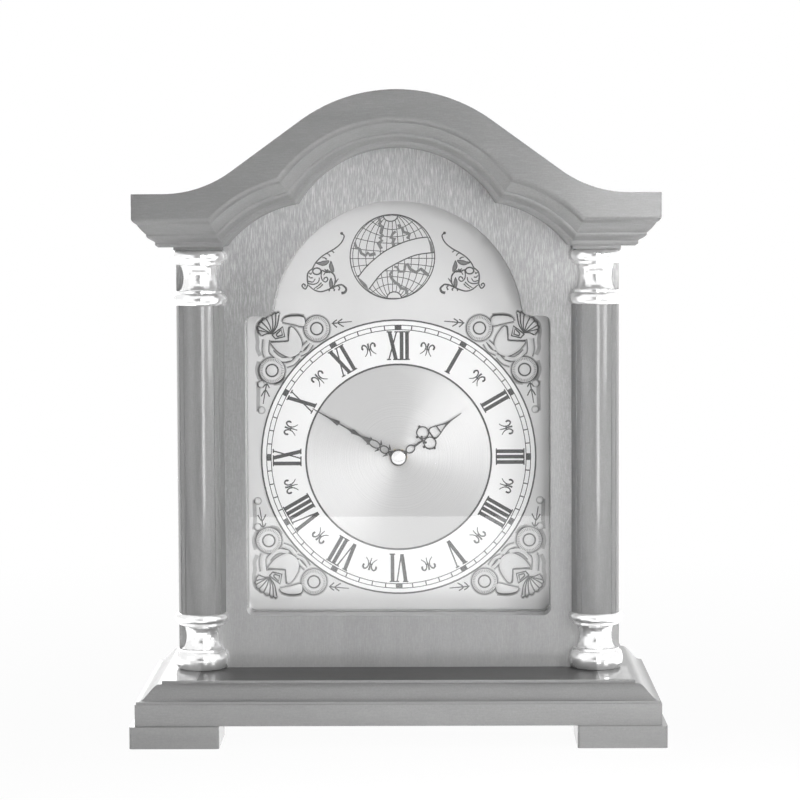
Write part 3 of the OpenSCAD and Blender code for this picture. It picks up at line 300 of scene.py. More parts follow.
def soft_matter(name, low, high, grain, rough):
    """Rubber, paper or laminate: dull, with a fibre or filler pattern of the given size in millimetres."""
    material = new_material(name)
    fibre = node(material, "TexNoise", {
        "Vector": in_millimetres(material, (1 / grain,) * 3), "Scale": 1.0, "Detail": 4.0,
    })
    finish_surface(material, {
        "Base Color": node(material, "ValToRGB", {"Fac": fibre}, [(0.3, low), (0.7, high)]),
        "Roughness": rough,
        "Normal": node(material, "Bump", {"Height": fibre, "Strength": 0.4, "Distance": 0.06 * MM}),
    })
    return material


# Greys of the stained wood, each as dark, middle and light
PANEL_GREYS = ("#7c7c7c", "#868686", "#909090")
UPRIGHT_GREYS = ("#7c7c7c", "#848484", "#8e8e8e")
CROWN_GREYS = ("#747474", "#797979", "#7f7f7f")
BASE_GREYS = ("#8a8a8a", "#909090", "#979797")
COLUMN_GREYS = ("#7a7a7a", "#7f7f7f", "#858585")
LEDGE_GREYS = ("#8c8c8c", "#929292", "#989898")
# The strip on the ledge before the panel, between the columns, is given these dark greys.
DARK_STRIP_GREYS = ("#3e3e3e", "#464646", "#4e4e4e")
LINER_GREYS = ("#9e9e9e", "#a6a6a6", "#aeaeae")

finishes = {
    # The front panel carries painted light: paler towards its foot and head, between 40 and 350 mm up, with painted
    # glints at the head.
    "panel": stained_veneer("panel_veneer_painted_light", PANEL_GREYS, "z", 0.35, 1.0, 0.14, 0.45, (40, 350)),
    "upright": stained_veneer("stained_veneer_upright_grain", UPRIGHT_GREYS, "z", 0.3, 0.5, 0.2, 0.2),
    "crown": stained_veneer("stained_crown_veneer", CROWN_GREYS, "x", 0.1, 0.75, 0.14),
    "base": stained_veneer("stained_base_veneer", BASE_GREYS, "x", 0.1, 0.7, 0.2),
    "deep": stained_veneer("stained_veneer_grain_along_depth", CROWN_GREYS, "y", 0.1, 0.75, 0.14),
    "column": stained_veneer("stained_column_veneer", COLUMN_GREYS, "z", 0.08, 1.0, 0.08),
    "ledge": stained_veneer("polished_ledge_lacquer", LEDGE_GREYS, "x", 0.02, 1.0, 0.03),
    "inlay": stained_veneer("dark_grey_ledge_strip", DARK_STRIP_GREYS, "x", 0.1),
    "liner": stained_veneer("grey_painted_liner_board", LINER_GREYS, "z", 0.1),
    "chrome": polished_plating(),
    "plate": silvered_plate("silvered_sheet", "#d6d6d6", "#dedede"),
    "dial": spun_dial(),
    "ink": printing_ink("screen_printed_ink", "#343434", "#404040"),
    "half_ink": printing_ink("screened_grey_ink", "#6a6a6a", "#787878"),
    "shade": printing_ink("soft_grey_shading", "#9c9c9c", "#acacac"),
    "relief": silvered_plate("bright_raised_silver", "#d0d0d0", "#dcdcdc"),
    "hand": painted_hands(),
    "glass": window_glass(),
    "housing": moulded_plastic("moulded_dark_housing", "#3c3c3c", "#484848", 0.5, 0.62),
    "gear": moulded_plastic("moulded_acetal", "#d8d8d4", "#e4e4e0", 0.35, 0.45),
    "black": moulded_plastic("moulded_black_plastic", "#1c1c1c", "#262626", 0.3, 0.42),
    "steel": worked_metal("bright_zinc_plated_steel", "#b4b4b4", "#cacaca", 0.3, "z"),
    "brass": worked_metal("turned_brass", "#a8935f", "#c0aa72", 0.3, "y"),
    "jacket": worked_metal("plain_cell_jacket", "#a8a8a8", "#bebebe", 0.35, "x"),
    "rubber": soft_matter("soft_rubber", "#181818", "#242424", 0.8, 0.8),
    "board": soft_matter("laminate_under_resist", "#3a4a3a", "#465846", 1.5, 0.5),
    "cone": soft_matter("pressed_paper_cone", "#1e1e1e", "#2c2c2c", 0.9, 0.9),
}

worn_by = {
    "panel": ["front_panel"],
    "upright": ["side_panel_left", "side_panel_right", "back_frame", "back_door"],
    "crown": ["pediment_board", "pediment_moulding", "roof_board", "soffit", "column_tiles"],
    "base": ["plinth", "base_moulding", "foot_front_left", "foot_front_right", "foot_back_left", "foot_back_right"],
    "deep": ["cornice_return_left", "cornice_return_right"],
    "column": ["column_shaft_left", "column_shaft_right"],
    "inlay": ["base_inlay"],
    "liner": ["spacer_frame"],
    "chrome": ["column_base_left", "column_base_right", "column_capital_left", "column_capital_right", "hand_nut"],
    "plate": ["dial_plate"],
    "dial": ["chapter_disc"],
    "hand": ["hour_hand", "minute_hand"],
    "glass": ["glass_pane"],
    "housing": ["movement_front_case", "movement_back_case"],
    "gear": ["centre_wheel", "minute_wheel", "hour_wheel", "third_wheel", "set_arbor"],
    "black": ["set_knob", "drive_module", "chime_switch", "volume_switch", "speaker_frame", "door_catch"],
    "steel": ["foot_screws", "dial_screws", "movement_screws", "battery_contacts", "strike_plate"],
    "brass": ["centre_bush", "bush_nut", "centre_arbor", "hinge_leaves_case", "hinge_leaves_door", "hinge_pins"],
    "jacket": ["battery_cells"],
    "rubber": ["movement_washer"],
    "board": ["circuit_board"],
    "cone": ["speaker_cone"],
}
for finish, pieces in worn_by.items():
    for piece in pieces:
        cad[piece].data.materials.clear()
        cad[piece].data.materials.append(finishes[finish])


# The ledge's polished ends: thickness of the film, its gap to the inlay, and how far behind the foot
# of the base moulding the flat ledge starts and the film ends
FILM, INLAY_GAP = 0.05, 0.3
LEDGE_FRONT, FILM_BACK = 17.5, 66


def polish_ledge():
    """The lacquer on the ledge beside the inlay is flatted and polished: seen so low, it mirrors the bright
    room behind."""
    low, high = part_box("base_moulding")
    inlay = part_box("base_inlay")[1].x
    top, front, back = high.z + FILM * MM, low.y + LEDGE_FRONT * MM, low.y + FILM_BACK * MM
    film = bmesh.new()
    for side in (-1, 1):
        a, b = side * (inlay + INLAY_GAP * MM), side * (high.x - LEDGE_FRONT * MM)
        film.faces.new([film.verts.new((x, y, top)) for x, y in ((a, front), (b, front), (b, back), (a, back))])
    shape = bpy.data.meshes.new("polished_ledge")
    film.to_mesh(shape)
    film.free()
    shape.materials.append(finishes["ledge"])
    piece = bpy.data.objects.new("polished_ledge", shape)
    scene.collection.objects.link(piece)
    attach(piece, "case")


polish_ledge()


# Drawing on the dial

def smooth(points):
    """A smooth line through the points."""
    steps = 6
    ends = [points[0]] + list(points) + [points[-1]]
    line = []
    for p0, p1, p2, p3 in zip(ends, ends[1:], ends[2:], ends[3:]):
        for i in range(steps):
            t = i / steps
            line.append(tuple(
                0.5 * (2 * b + (c - a) * t + (2 * a - 5 * b + 4 * c - d) * t * t + (3 * b - 3 * c + d - a) * t ** 3)
                for a, b, c, d in zip(p0, p1, p2, p3)
            ))
    return line + [tuple(points[-1])]


def round_line(centre, radius, first=0.0, last=360.0, squash=1.0, step=4):
    """Points along a circle, or along an ellipse when its height is squashed."""
    count = max(6, int(abs(last - first) / step))
    turns = [math.radians(first + (last - first) * i / count) for i in range(count + 1)]
    return [(centre[0] + radius * math.cos(t), centre[1] + radius * squash * math.sin(t)) for t in turns]


def with_normals(line):
    """Each point of a line with the direction that stands across it."""
    for i, point in enumerate(line):
        before, after = line[max(i - 1, 0)], line[min(i + 1, len(line) - 1)]
        run = Vector((after[0] - before[0], after[1] - before[1]))
        run = run.normalized() if run.length > 1e-9 else Vector((1, 0))
        yield point, (run.y, -run.x)


def beside(line, gap):
    return [(x + nx * gap, z + nz * gap) for (x, z), (nx, nz) in with_normals(line)]


class Pen:
    """Draws flat ink in one mesh on an upright plane: x across, z up, both in millimetres."""

    def __init__(self, depth):
        self.mesh = bmesh.new()
        self.depth = depth

    def vertex(self, x, z, rise=0.0):
        return self.mesh.verts.new(Vector((x, self.depth - rise, z)) * MM)

    def face(self, outline, rise=0.0):
        self.mesh.faces.new([self.vertex(x, z, rise) for x, z in outline])

    def web(self, rows):
        """Faces between rows of vertices of the same length."""
        for first, second in zip(rows, rows[1:]):
            for a, b, c, d in zip(first, first[1:], second, second[1:]):
                self.mesh.faces.new((a, c, d, b))

    def stroke(self, line, start, end=None, rise=0.0):
        """A line whose width runs from start to end."""
        end = start if end is None else end
        rows = []
        for i, ((x, z), (nx, nz)) in enumerate(with_normals(line)):
            half = (start + (end - start) * i / (len(line) - 1)) / 2
            rows.append([self.vertex(x + side * nx * half, z + side * nz * half, rise) for side in (1, -1)])
        self.web(rows)

    def ridge(self, line, wide, rise):
        """A raised cord, rounded across, whose edges lie on the sheet."""
        half = wide / 2
        self.web([
            [self.vertex(x + u * nx * half, z + u * nz * half, rise * (1 - u * u)) for u in (-1, -0.7, 0, 0.7, 1)]
            for (x, z), (nx, nz) in with_normals(line)
        ])

    def cushion(self, outline, rise, shares=((1, 0), (0.93, 0.5), (0.8, 0.85), (0.5, 1), (0, 1))):
        """A raised field inside a closed outline. Each share is a size of the outline and a part of the rise."""
        mx = sum(x for x, z in outline) / len(outline)
        mz = sum(z for x, z in outline) / len(outline)
        self.web([
            [self.vertex(mx + (x - mx) * size, mz + (z - mz) * size, rise * part) for x, z in outline + outline[:1]]
            for size, part in shares
        ])

    def curve(self, points, start, end=None, rise=0.0):
        self.stroke(smooth(points), start, end, rise)

    def ring(self, centre, radius, width, squash=1.0, rise=0.0):
        self.stroke(round_line(centre, radius, squash=squash), width, rise=rise)

    def dot(self, centre, radius):
        self.face(round_line(centre, radius, 0, 345, 1, 15))

    def lift(self, name, material, slot):
        """Ends the drawing and hands it to the clock as one piece."""
        shape = bpy.data.meshes.new(name)
        bmesh.ops.remove_doubles(self.mesh, verts=self.mesh.verts, dist=1e-7)
        bmesh.ops.recalc_face_normals(self.mesh, faces=self.mesh.faces)
        for face in self.mesh.faces:
            face.smooth = True
        self.mesh.to_mesh(shape)
        self.mesh.free()
        shape.materials.append(material)
        piece = bpy.data.objects.new(name, shape)
        scene.collection.objects.link(piece)
        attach(piece, "case")


# Ink lies this far before the sheet, and ink over ink as far again
INK_GAP = 0.05
# Widths of a numeral's stems, slants and serifs, and how far serifs reach to each side
STEM, SLANT, SERIF = 2.5, 0.9, 0.85
STEM_FOOT, SLANT_FOOT = 1.9, 1.4
# Each letter's width; its strokes as places at foot and head, from its middle, and width;
# its serifs as place, radius and reach
LETTERS = {
    "I": (3.7, [(0, 0, STEM)], [(0, LETTER_TOP, 1.95), (0, LETTER_FOOT, 1.95)]),
    "V": (9.0, [(-0.1, -2.7, STEM), (0.4, 3.2, SLANT)],
          [(-2.7, LETTER_TOP, STEM_FOOT), (3.2, LETTER_TOP, SLANT_FOOT)]),
    "X": (8.4, [(2.2, -2.2, STEM), (-2.6, 2.6, SLANT)],
          [(-2.2, LETTER_TOP, STEM_FOOT), (2.6, LETTER_TOP, SLANT_FOOT),
           (2.2, LETTER_FOOT, STEM_FOOT), (-2.6, LETTER_FOOT, SLANT_FOOT)]),
}
HOURS = ["XII", "I", "II", "III", "IIII", "V", "VI", "VII", "VIII", "IX", "X", "XI"]
# Radius at the middle of the half hour marks
MARK_AT = 75.8


def on_dial(turn, across, radius):
    """A point of the dial: turn is clockwise from twelve in degrees, across runs clockwise, radius from the centre."""
    a = math.radians(turn)
    return (radius * math.sin(a) + across * math.cos(a), DIAL_Z + radius * math.cos(a) - across * math.sin(a))


def numeral(pen, turn, letters):
    """A Roman numeral with its head to the rim: bold stems, thin slants and flat serifs."""
    middle = -sum(LETTERS[letter][0] for letter in letters) / 2
    for letter in letters:
        wide, strokes, serifs = LETTERS[letter]
        middle += wide / 2
        for foot, head, width in strokes:
            pen.stroke([on_dial(turn, middle + foot, LETTER_FOOT), on_dial(turn, middle + head, LETTER_TOP)], width)
        for place, radius, reach in serifs:
            pen.stroke([on_dial(turn, middle + place + side * reach, radius) for side in (-1, 1)], SERIF)
        middle += wide / 2


def half_hour_mark(pen, turn):
    """The small scrolled mark between two numerals: a stem between two hooks with a tie across."""
    def put(points):
        return [on_dial(turn, u, MARK_AT + v) for u, v in points]
    pen.curve(put([(0, -4.4), (0.2, -1.5), (-0.1, 1.8), (0.1, 4.4)]), 0.5, 1.3)
    pen.curve(put([(-1.6, 0.2), (1.7, 0.2)]), 0.7)
    for s in (-1, 1):
        pen.curve(put([(s * 3.9, -3.9), (s * 2.2, -2.2), (s * 1.1, 0.1), (s * 1.5, 2.6), (s * 3.1, 3.9),
                       (s * 4.4, 2.9), (s * 4.4, 1.4)]), 0.5, 1.35)
        pen.dot(put([(s * 4.3, 1.3)])[0], 0.6)


def print_chapter_ring():
    """The two rings, the minute track with a block at each hour, the numerals and the marks between them."""
    pen = Pen(DISC_Y - INK_GAP)
    centre = (0, DIAL_Z)
    for radius, width in ((RING_OUT - 0.55, 1.1), (RING_IN, 1.25), (TRACK_OUT, 0.55), (TRACK_IN, 0.55)):
        pen.ring(centre, radius, width)
    for minute in range(60):
        wide = 4.6 if minute % 5 == 0 else 0.75
        pen.stroke([on_dial(6 * minute, 0, TRACK_IN), on_dial(6 * minute, 0, TRACK_OUT)], wide)
    for hour, letters in enumerate(HOURS):
        numeral(pen, 30 * hour, letters)
        half_hour_mark(pen, 30 * hour + 15)
    pen.lift("printed_chapter_ring", finishes["ink"], "hand_black")


print_chapter_ring()

# Corner ornament in millimetres from the dial's centre, for the upper right corner
ROSETTES = [(55.3, 87.8), (85.9, 59.4)]
FAN = [(85.7, 84.5), (80.8, 97.4), (83, 97.7), (85.7, 96.8), (89.7, 94.8), (92.7, 92.5), (94.6, 89.5),
    (94.8, 86.8), (92.5, 83), (89.5, 82.5)]
FEATHERS = FAN[1:-1]
FEATHER_BENDS = [(82.2, 89.9), (83.5, 90.4), (85.1, 90.8), (87.4, 90.4),
    (89.5, 89.1), (91.2, 87.4), (90.8, 85.9), (89.5, 84.4)]
GEM = [(85.7, 83.7), (78.4, 89.1), (77.1, 82.5), (83.4, 81)]
GEM_CORE = [(82.8, 84), (79.4, 87.3), (78.7, 83.5), (82.2, 82.5)]
GEM_FRAME = [(74.1, 89.1), (74.4, 84.4), (74.8, 79.6), (81, 78.9), (86.8, 79.4)]
POUCH = [(86.8, 78.2), (84.4, 75), (81, 71.6), (75, 68.6), (70.3, 69.2), (66.6, 72.2), (65.4, 76.7),
    (66.3, 81), (69, 85.7), (72, 88.8), (73.7, 87.8), (74.1, 83.5), (74.5, 79.3), (81, 78.6)]
TOP_LEAF = [(78.7, 92.4), (77.4, 94.8), (71.6, 96.2), (64.1, 95.3), (64.1, 89.5), (71.6, 90.9)]
# Arms of that ornament: middle line, then width
ARMS = [
    ([(89.7, 80.5), (90.2, 75.8), (90.2, 72), (89.1, 69)], 4),
    ([(86.1, 72), (82.7, 68.6), (78.4, 66.6), (72.4, 67.6)], 2.6),
    ([(66, 72.8), (63.9, 75.8), (60.9, 78.6)], 2.2),
    ([(66.9, 70.3), (62.2, 72.6), (58.9, 77.4)], 2.2),
    ([(68, 68.6), (71.6, 64.7), (76.3, 62.9)], 2.8),
]
# Its two sprigs: stem, then barbs as tip, fork and tip
SPRIGS = [
    ([(45.1, 91.2), (38.3, 91.9), (31.4, 92.5)],
     [[(41.5, 93.8), (44.2, 91.4), (41.5, 88.5)], [(37.9, 94.3), (40.8, 91.7), (36.9, 89)]]),
    ([(89.7, 50.2), (91, 43.4), (92.1, 36.6)],
     [[(92.2, 47.8), (89.7, 50.2), (87.8, 47.5)], [(93.4, 41.8), (90.5, 45.9), (87.8, 41.5)]]),
]
BEADS = [(93.6, 50), (93.3, 32.3)]
# Lines of soft shading beside the relief
SHADES = [
    [(91.2, 94.5), (95.5, 90.8), (96.3, 84.4), (95.6, 79.3), (95.8, 74.1), (93.9, 69.4)],
    [(95, 65.6), (96.2, 59.6), (94.8, 54.5), (92.9, 51.8)],
    [(95.9, 51.9), (95.3, 45.1), (95.5, 38.3), (95.6, 31.4)],
    [(77.4, 95.3), (71.6, 97), (63.9, 96.5)],
    [(84.8, 50.2), (80.1, 51.2), (77.4, 55.3)],
]

# How high the relief stands, how far the lower corners lie out and up from the upper ones' places,
# and the widths of the shading, wide round a raised form and narrow along an edge
RELIEF = 0.9
LOWER_OUT, LOWER_UP = 3.0, 2.4
SHADE, NARROW_SHADE = 2.6, 2.2
# A rosette's radius, and its section from the rim to the middle as shares of radius and height
ROSETTE_R = 8.6
ROSETTE = ((1, 0), (0.96, 0.6), (0.86, 1), (0.56, 0.9), (0.5, 0.5), (0.42, 0.9), (0, 1))


def corner_ornament(relief, ink, shade, sx, sz):
    """One corner of the dial: two rosettes, a round pouch with a gem over it, a fan of feathers, arms and sprigs."""
    out, up = (LOWER_OUT, LOWER_UP) if sz < 0 else (0.0, 0.0)

    def put(points):
        return [(sx * (u + out), DIAL_Z + sz * (v - up)) for u, v in points]

    def raised(points):
        outline = smooth(put(points + points[:1]))
        relief.cushion(outline[:-1], RELIEF)
        shade.stroke(outline, SHADE)
        ink.stroke(outline, 0.95)

    for line in SHADES:
        shade.curve(put(line), SHADE)
    for outline in (POUCH, TOP_LEAF):
        raised(outline)
    relief.cushion(smooth(put(FAN + FAN[:1]))[:-1], RELIEF)
    for bend, tip in zip(FEATHER_BENDS, FEATHERS):
        ink.curve(put([FAN[0], bend, tip]), 0.75, 0.95, rise=RELIEF)
    for first, second in zip(FEATHERS, FEATHERS[1:]):
        root = Vector(FAN[0])
        tip = root + ((Vector(first) + Vector(second)) / 2 - root) * 1.12
        ink.curve(put([first, tip, second]), 0.8)
        shade.curve(put([first, tip, second]), NARROW_SHADE)
    for line, wide in ARMS:
        middle = smooth(put(line))
        relief.ridge(middle, wide, RELIEF)
        for side in (-1, 1):
            edge = beside(middle, side * wide / 2)
            shade.stroke(edge, NARROW_SHADE)
            ink.stroke(edge, 0.8)
    ink.stroke(put(GEM_FRAME), 0.95, rise=RELIEF)
    for outline in (GEM, GEM_CORE):
        ink.stroke(put(outline + outline[:1]), 1.05, rise=RELIEF)
    for centre in put(ROSETTES):
        rim = round_line(centre, ROSETTE_R)
        relief.cushion(rim[:-1], RELIEF, ROSETTE)
        shade.stroke(rim, SHADE)
        ink.stroke(rim, 1.0)
        ink.ring(centre, 4.1, 1.0, rise=RELIEF)
        for turn in range(0, 360, 9):
            a = math.radians(turn)
            cut = [(centre[0] + r * math.cos(a), centre[1] + r * math.sin(a)) for r in (6.4, 8.1)]
            ink.stroke(cut, 0.35, rise=RELIEF)
    for stem, barbs in SPRIGS:
        ink.curve(put(stem), 0.95, 0.6)
        for barb in barbs:
            ink.curve(put(barb), 0.85)
    for centre in put(BEADS):
        relief.cushion(round_line(centre, 2.1)[:-1], RELIEF)
        shade.ring(centre, 2.4, 0.8)


def print_corners():
    """The four ornaments: silver relief, dark outlines and soft shading between plate and outlines."""
    relief, ink, shade = Pen(PLATE_Y), Pen(PLATE_Y - INK_GAP), Pen(PLATE_Y - INK_GAP / 2)
    for sx in (-1, 1):
        for sz in (-1, 1):
            corner_ornament(relief, ink, shade, sx, sz)
    relief.lift("corner_relief", finishes["relief"], "dial_silver")
    ink.lift("corner_outlines", finishes["ink"], "hand_black")
    shade.lift("corner_shading", finishes["shade"], "hand_black")


print_corners()

# Globe in the arch, in millimetres from its own centre
GLOBE = (-3.6, DIAL_Z + 136.4)
GLOBE_R = 28.7
MERIDIANS = [0, 0.14, 0.29, 0.45, 0.63, 0.81, 0.94]
# Parallels as shares of its radius: height at the rim, then at the middle
PARALLELS = [(0.86, 0.645), (0.7, 0.47), (0.455, 0.32), (0.21, 0.13), (-0.04, -0.04),
             (-0.24, -0.16), (-0.46, -0.33), (-0.7, -0.47), (-0.86, -0.645)]
# Coasts, its ribbon and the ribbon's turned ends
LANDS = [
    [(-9.4, 26.4), (-8, 24.2), (-9.2, 22.6), (-6.9, 20.7), (-8, 16.2), (-6.4, 14.4), (-8.6, 12.8),
     (-6.9, 11.1), (-9.7, 9.4), (-7.4, 5.4)],
    [(-25.6, 9.9), (-24.5, 6.5), (-22.2, 5.4), (-21.2, 2.6), (-18.2, 0.8), (-16.6, 2.9), (-15.4, 1.2), (-11.4, 2.2)],
    [(4, 21.9), (5.2, 19.4), (6.8, 20), (7.6, 16.8), (11.9, 15.6), (10.2, 12.2)],
    [(2.3, 17.3), (0.4, 15.8), (-1.2, 12.8), (1.7, 12.2), (0.2, 9.8), (1.1, 7.1)],
    [(1.1, -6.6), (3.2, -7), (4.5, -10), (7.9, -10), (8.6, -6.4), (10.2, -4.9), (11.9, -8.3),
     (15.9, -10.6), (19.3, -8.3), (23.9, -12.3)],
    [(0, -9.4), (-1.7, -12), (-0.6, -14.6), (1.7, -17.4), (4.2, -18.8), (5.7, -21.4), (9.2, -22), (9.7, -25.4)],
]
RIBBON_TOP = [(-23.4, -13.7), (-16.5, -5.4), (-5.7, 3.4), (5.7, 9.1), (15.9, 12.2), (23.6, 13.3)]
RIBBON_FOOT = [(-16.2, -22.2), (-8, -11.7), (0, -6), (14.8, 0.8), (28.2, 2.8)]
RIBBON_FOLDS = [
    [(23.6, 13.3), (26.6, 9.4), (28.2, 2.8), (26, 2.7), (25.3, 8)],
    [(-23.4, -13.7), (-20.6, -18.6), (-16.2, -22.2), (-17.6, -18.8), (-21, -15.6)],
]
# The two polar caps: centre, radius, first and last angle, and how far it is squashed
CAPS = [((-1.2, 27.6), 4.7, 180, 360, 0.75), ((1.1, -27.9), 4.8, 0, 180, 0.85)]


def print_globe():
    """A globe drawn in thin lines with a plain ribbon laid over it."""
    ink, land, sheet = Pen(PLATE_Y - INK_GAP), Pen(PLATE_Y - 1.5 * INK_GAP), Pen(PLATE_Y - 2 * INK_GAP)

    def put(points):
        return [(GLOBE[0] + x, GLOBE[1] + z) for x, z in points]

    ink.ring(GLOBE, GLOBE_R, 0.75, rise=2 * INK_GAP)
    turns = [math.radians(t) for t in range(-90, 91, 6)]
    for share in MERIDIANS:
        for side in (-1, 1):
            ink.stroke(put([(side * share * GLOBE_R * math.cos(t), GLOBE_R * math.sin(t)) for t in turns]), 0.5)
    for rim, middle in PARALLELS:
        reach = math.sqrt(1 - rim * rim)
        spots = [reach * i / 10 for i in range(-10, 11)]
        ink.stroke(put([(GLOBE_R * x, GLOBE_R * (middle + (rim - middle) * (x / reach) ** 2)) for x in spots]), 0.5)
    for line in LANDS:
        land.stroke(put(line), 1.7, 2.3)
    caps = [round_line(put([place])[0], *shape) for place, *shape in CAPS]
    ribbon = [smooth(put(RIBBON_TOP)), smooth(put(RIBBON_FOOT))]
    for outline in caps + [ribbon[0] + ribbon[1][::-1]]:
        sheet.face(outline)
    for line in caps + ribbon:
        ink.stroke(line, 0.8, rise=2 * INK_GAP)
    for fold in RIBBON_FOLDS:
        land.face(put(fold), INK_GAP)
    ink.lift("printed_globe", finishes["ink"], "hand_black")
    land.lift("printed_lands", finishes["half_ink"], "hand_black")
    sheet.lift("plain_ribbon", finishes["plate"], "dial_silver")


print_globe()

# The print's middle, and the scroll on its left: x from that middle, z from the globe's centre,
# each line with its width at both ends
PRINT_X = -3.1
SCROLL_LINES = [
    ([(-34.9, 16), (-33.2, 14.1), (-35.1, 9.8), (-39.4, 5.9), (-45.3, 2.5), (-49.6, -0.5),
      (-53, -4.3), (-54.7, -7.7)], 0.9, 0.9),
    ([(-42.6, 3.8), (-41.5, 4), (-40.1, 2.9)], 0.5, 0.9),
    ([(-45.1, 2.3), (-43.8, 1.9), (-42.8, 0.5)], 0.5, 0.9),
    ([(-48.3, -0.5), (-46.6, -0.5), (-45.1, -1.7)], 0.5, 1.1),
    ([(-54.7, -7.7), (-57.7, -10.3), (-58.4, -14.1), (-57.9, -18.4)], 0.9, 1.1),
    ([(-57.9, -18.6), (-59.8, -21.6), (-62, -19.7), (-61.1, -18.2), (-59.8, -19), (-60.3, -19.9)], 1.0, 0.9),
    ([(-57.5, -19.2), (-53.9, -22.2), (-49.6, -23.5), (-45.3, -22.5), (-41.1, -20.7), (-37.6, -19.2),
      (-34.7, -18.8)], 0.8, 1.2),
    ([(-34.7, -18.8), (-32.1, -21.4), (-32.9, -23.9), (-35.3, -24.6)], 1.1, 2.0),
    ([(-48.3, -8.6), (-49, -12.4), (-48.3, -15.4), (-46.2, -16.9), (-44.5, -15.4), (-45.3, -13.7),
      (-46.8, -14.3), (-47.3, -15.4)], 0.8, 0.9),
    ([(-43.6, -9.4), (-40.6, -11.6), (-39.4, -15), (-40.2, -19.2), (-42.8, -21.4)], 1.1, 0.9),
    ([(-37.2, -14.6), (-38.3, -16), (-39.4, -17.5)], 0.5, 1.1),
    ([(-57.7, -16.3), (-54.7, -16.9), (-53, -14.6)], 0.9, 0.6),
    ([(-57.7, -18), (-53.9, -18.4), (-50.9, -16.9), (-50.2, -13.9)], 0.9, 0.7),
    ([(-53.9, -21.4), (-51.3, -19.7), (-48.7, -17.3)], 0.6, 0.9),
    ([(-52.2, -21.8), (-49.6, -20.3), (-47.9, -18.4)], 0.6, 0.9),
    ([(-57.5, -12.8), (-56.2, -14.1), (-54.7, -13.9)], 0.6, 0.9),
    ([(-57.1, -10.7), (-56, -11.6), (-55.5, -10.3)], 0.9, 0.6),
    ([(-41.1, -21.4), (-40, -22), (-40.4, -23.1)], 0.7, 1.1),
    ([(-37.6, -19.9), (-36.4, -20.7), (-37.2, -22.7)], 0.7, 1.1),
    ([(-44.3, -21.8), (-43.4, -22.5), (-43.8, -23.3)], 0.7, 1.0),
    ([(-47.9, -9), (-46.2, -9.9), (-44, -8.6)], 0.9, 1.3),
    ([(-46.6, -8.1), (-45.3, -9.4), (-42.8, -10.5)], 0.7, 1.3),
    ([(-47.3, -12.4), (-46.2, -10.7), (-44, -10.3)], 0.6, 0.9),
]
SCROLL_TIP, SCROLL_EYE = (-34.9, 16), (-51.9, -9.6)
SCROLL_LEAVES = [
    [(-52.6, -3.9), (-49.6, -3.5), (-47.5, -2.8), (-43.6, -2.6), (-45.3, -4.9), (-47.9, -5.7), (-50.5, -4.9)],
    [(-42.3, -2.6), (-43.4, -6), (-42.6, -8.6), (-40.6, -10.1), (-40.5, -7.7), (-41.5, -4.7)],
    [(-42.3, -14.1), (-43.4, -17.1), (-43, -20.1), (-42.1, -21.4), (-41.1, -18.4), (-41.7, -15.8)],
]


def print_scrolls():
    """Leafy scrolls on both sides of the globe, drawn with a swelling line."""
    ink, tint = Pen(PLATE_Y - INK_GAP), Pen(PLATE_Y - INK_GAP / 2)
    for side in (1, -1):
        def put(points):
            return [(PRINT_X + side * x, GLOBE[1] + z) for x, z in points]
        for line, start, end in SCROLL_LINES:
            ink.curve(put(line), start, end)
        for leaf in SCROLL_LEAVES:
            outline = smooth(put(leaf + leaf[:1]))
            tint.face(outline[:-1])
            ink.stroke(outline, 0.6)
        tip, eye = put([SCROLL_TIP, SCROLL_EYE])
        ink.dot(tip, 1.0)
        ink.ring(eye, 2.8, 1.0, squash=0.78)
    ink.lift("printed_scrolls", finishes["ink"], "hand_black")
    tint.lift("printed_scroll_leaves", finishes["half_ink"], "hand_black")


print_scrolls()


# Studio: the table's reach to each side, its front and back edges, and its gap under the feet
TABLE_SIDE, TABLE_FRONT, TABLE_BACK = 6000, -1186, 9000
TABLE_GAP = 0.05


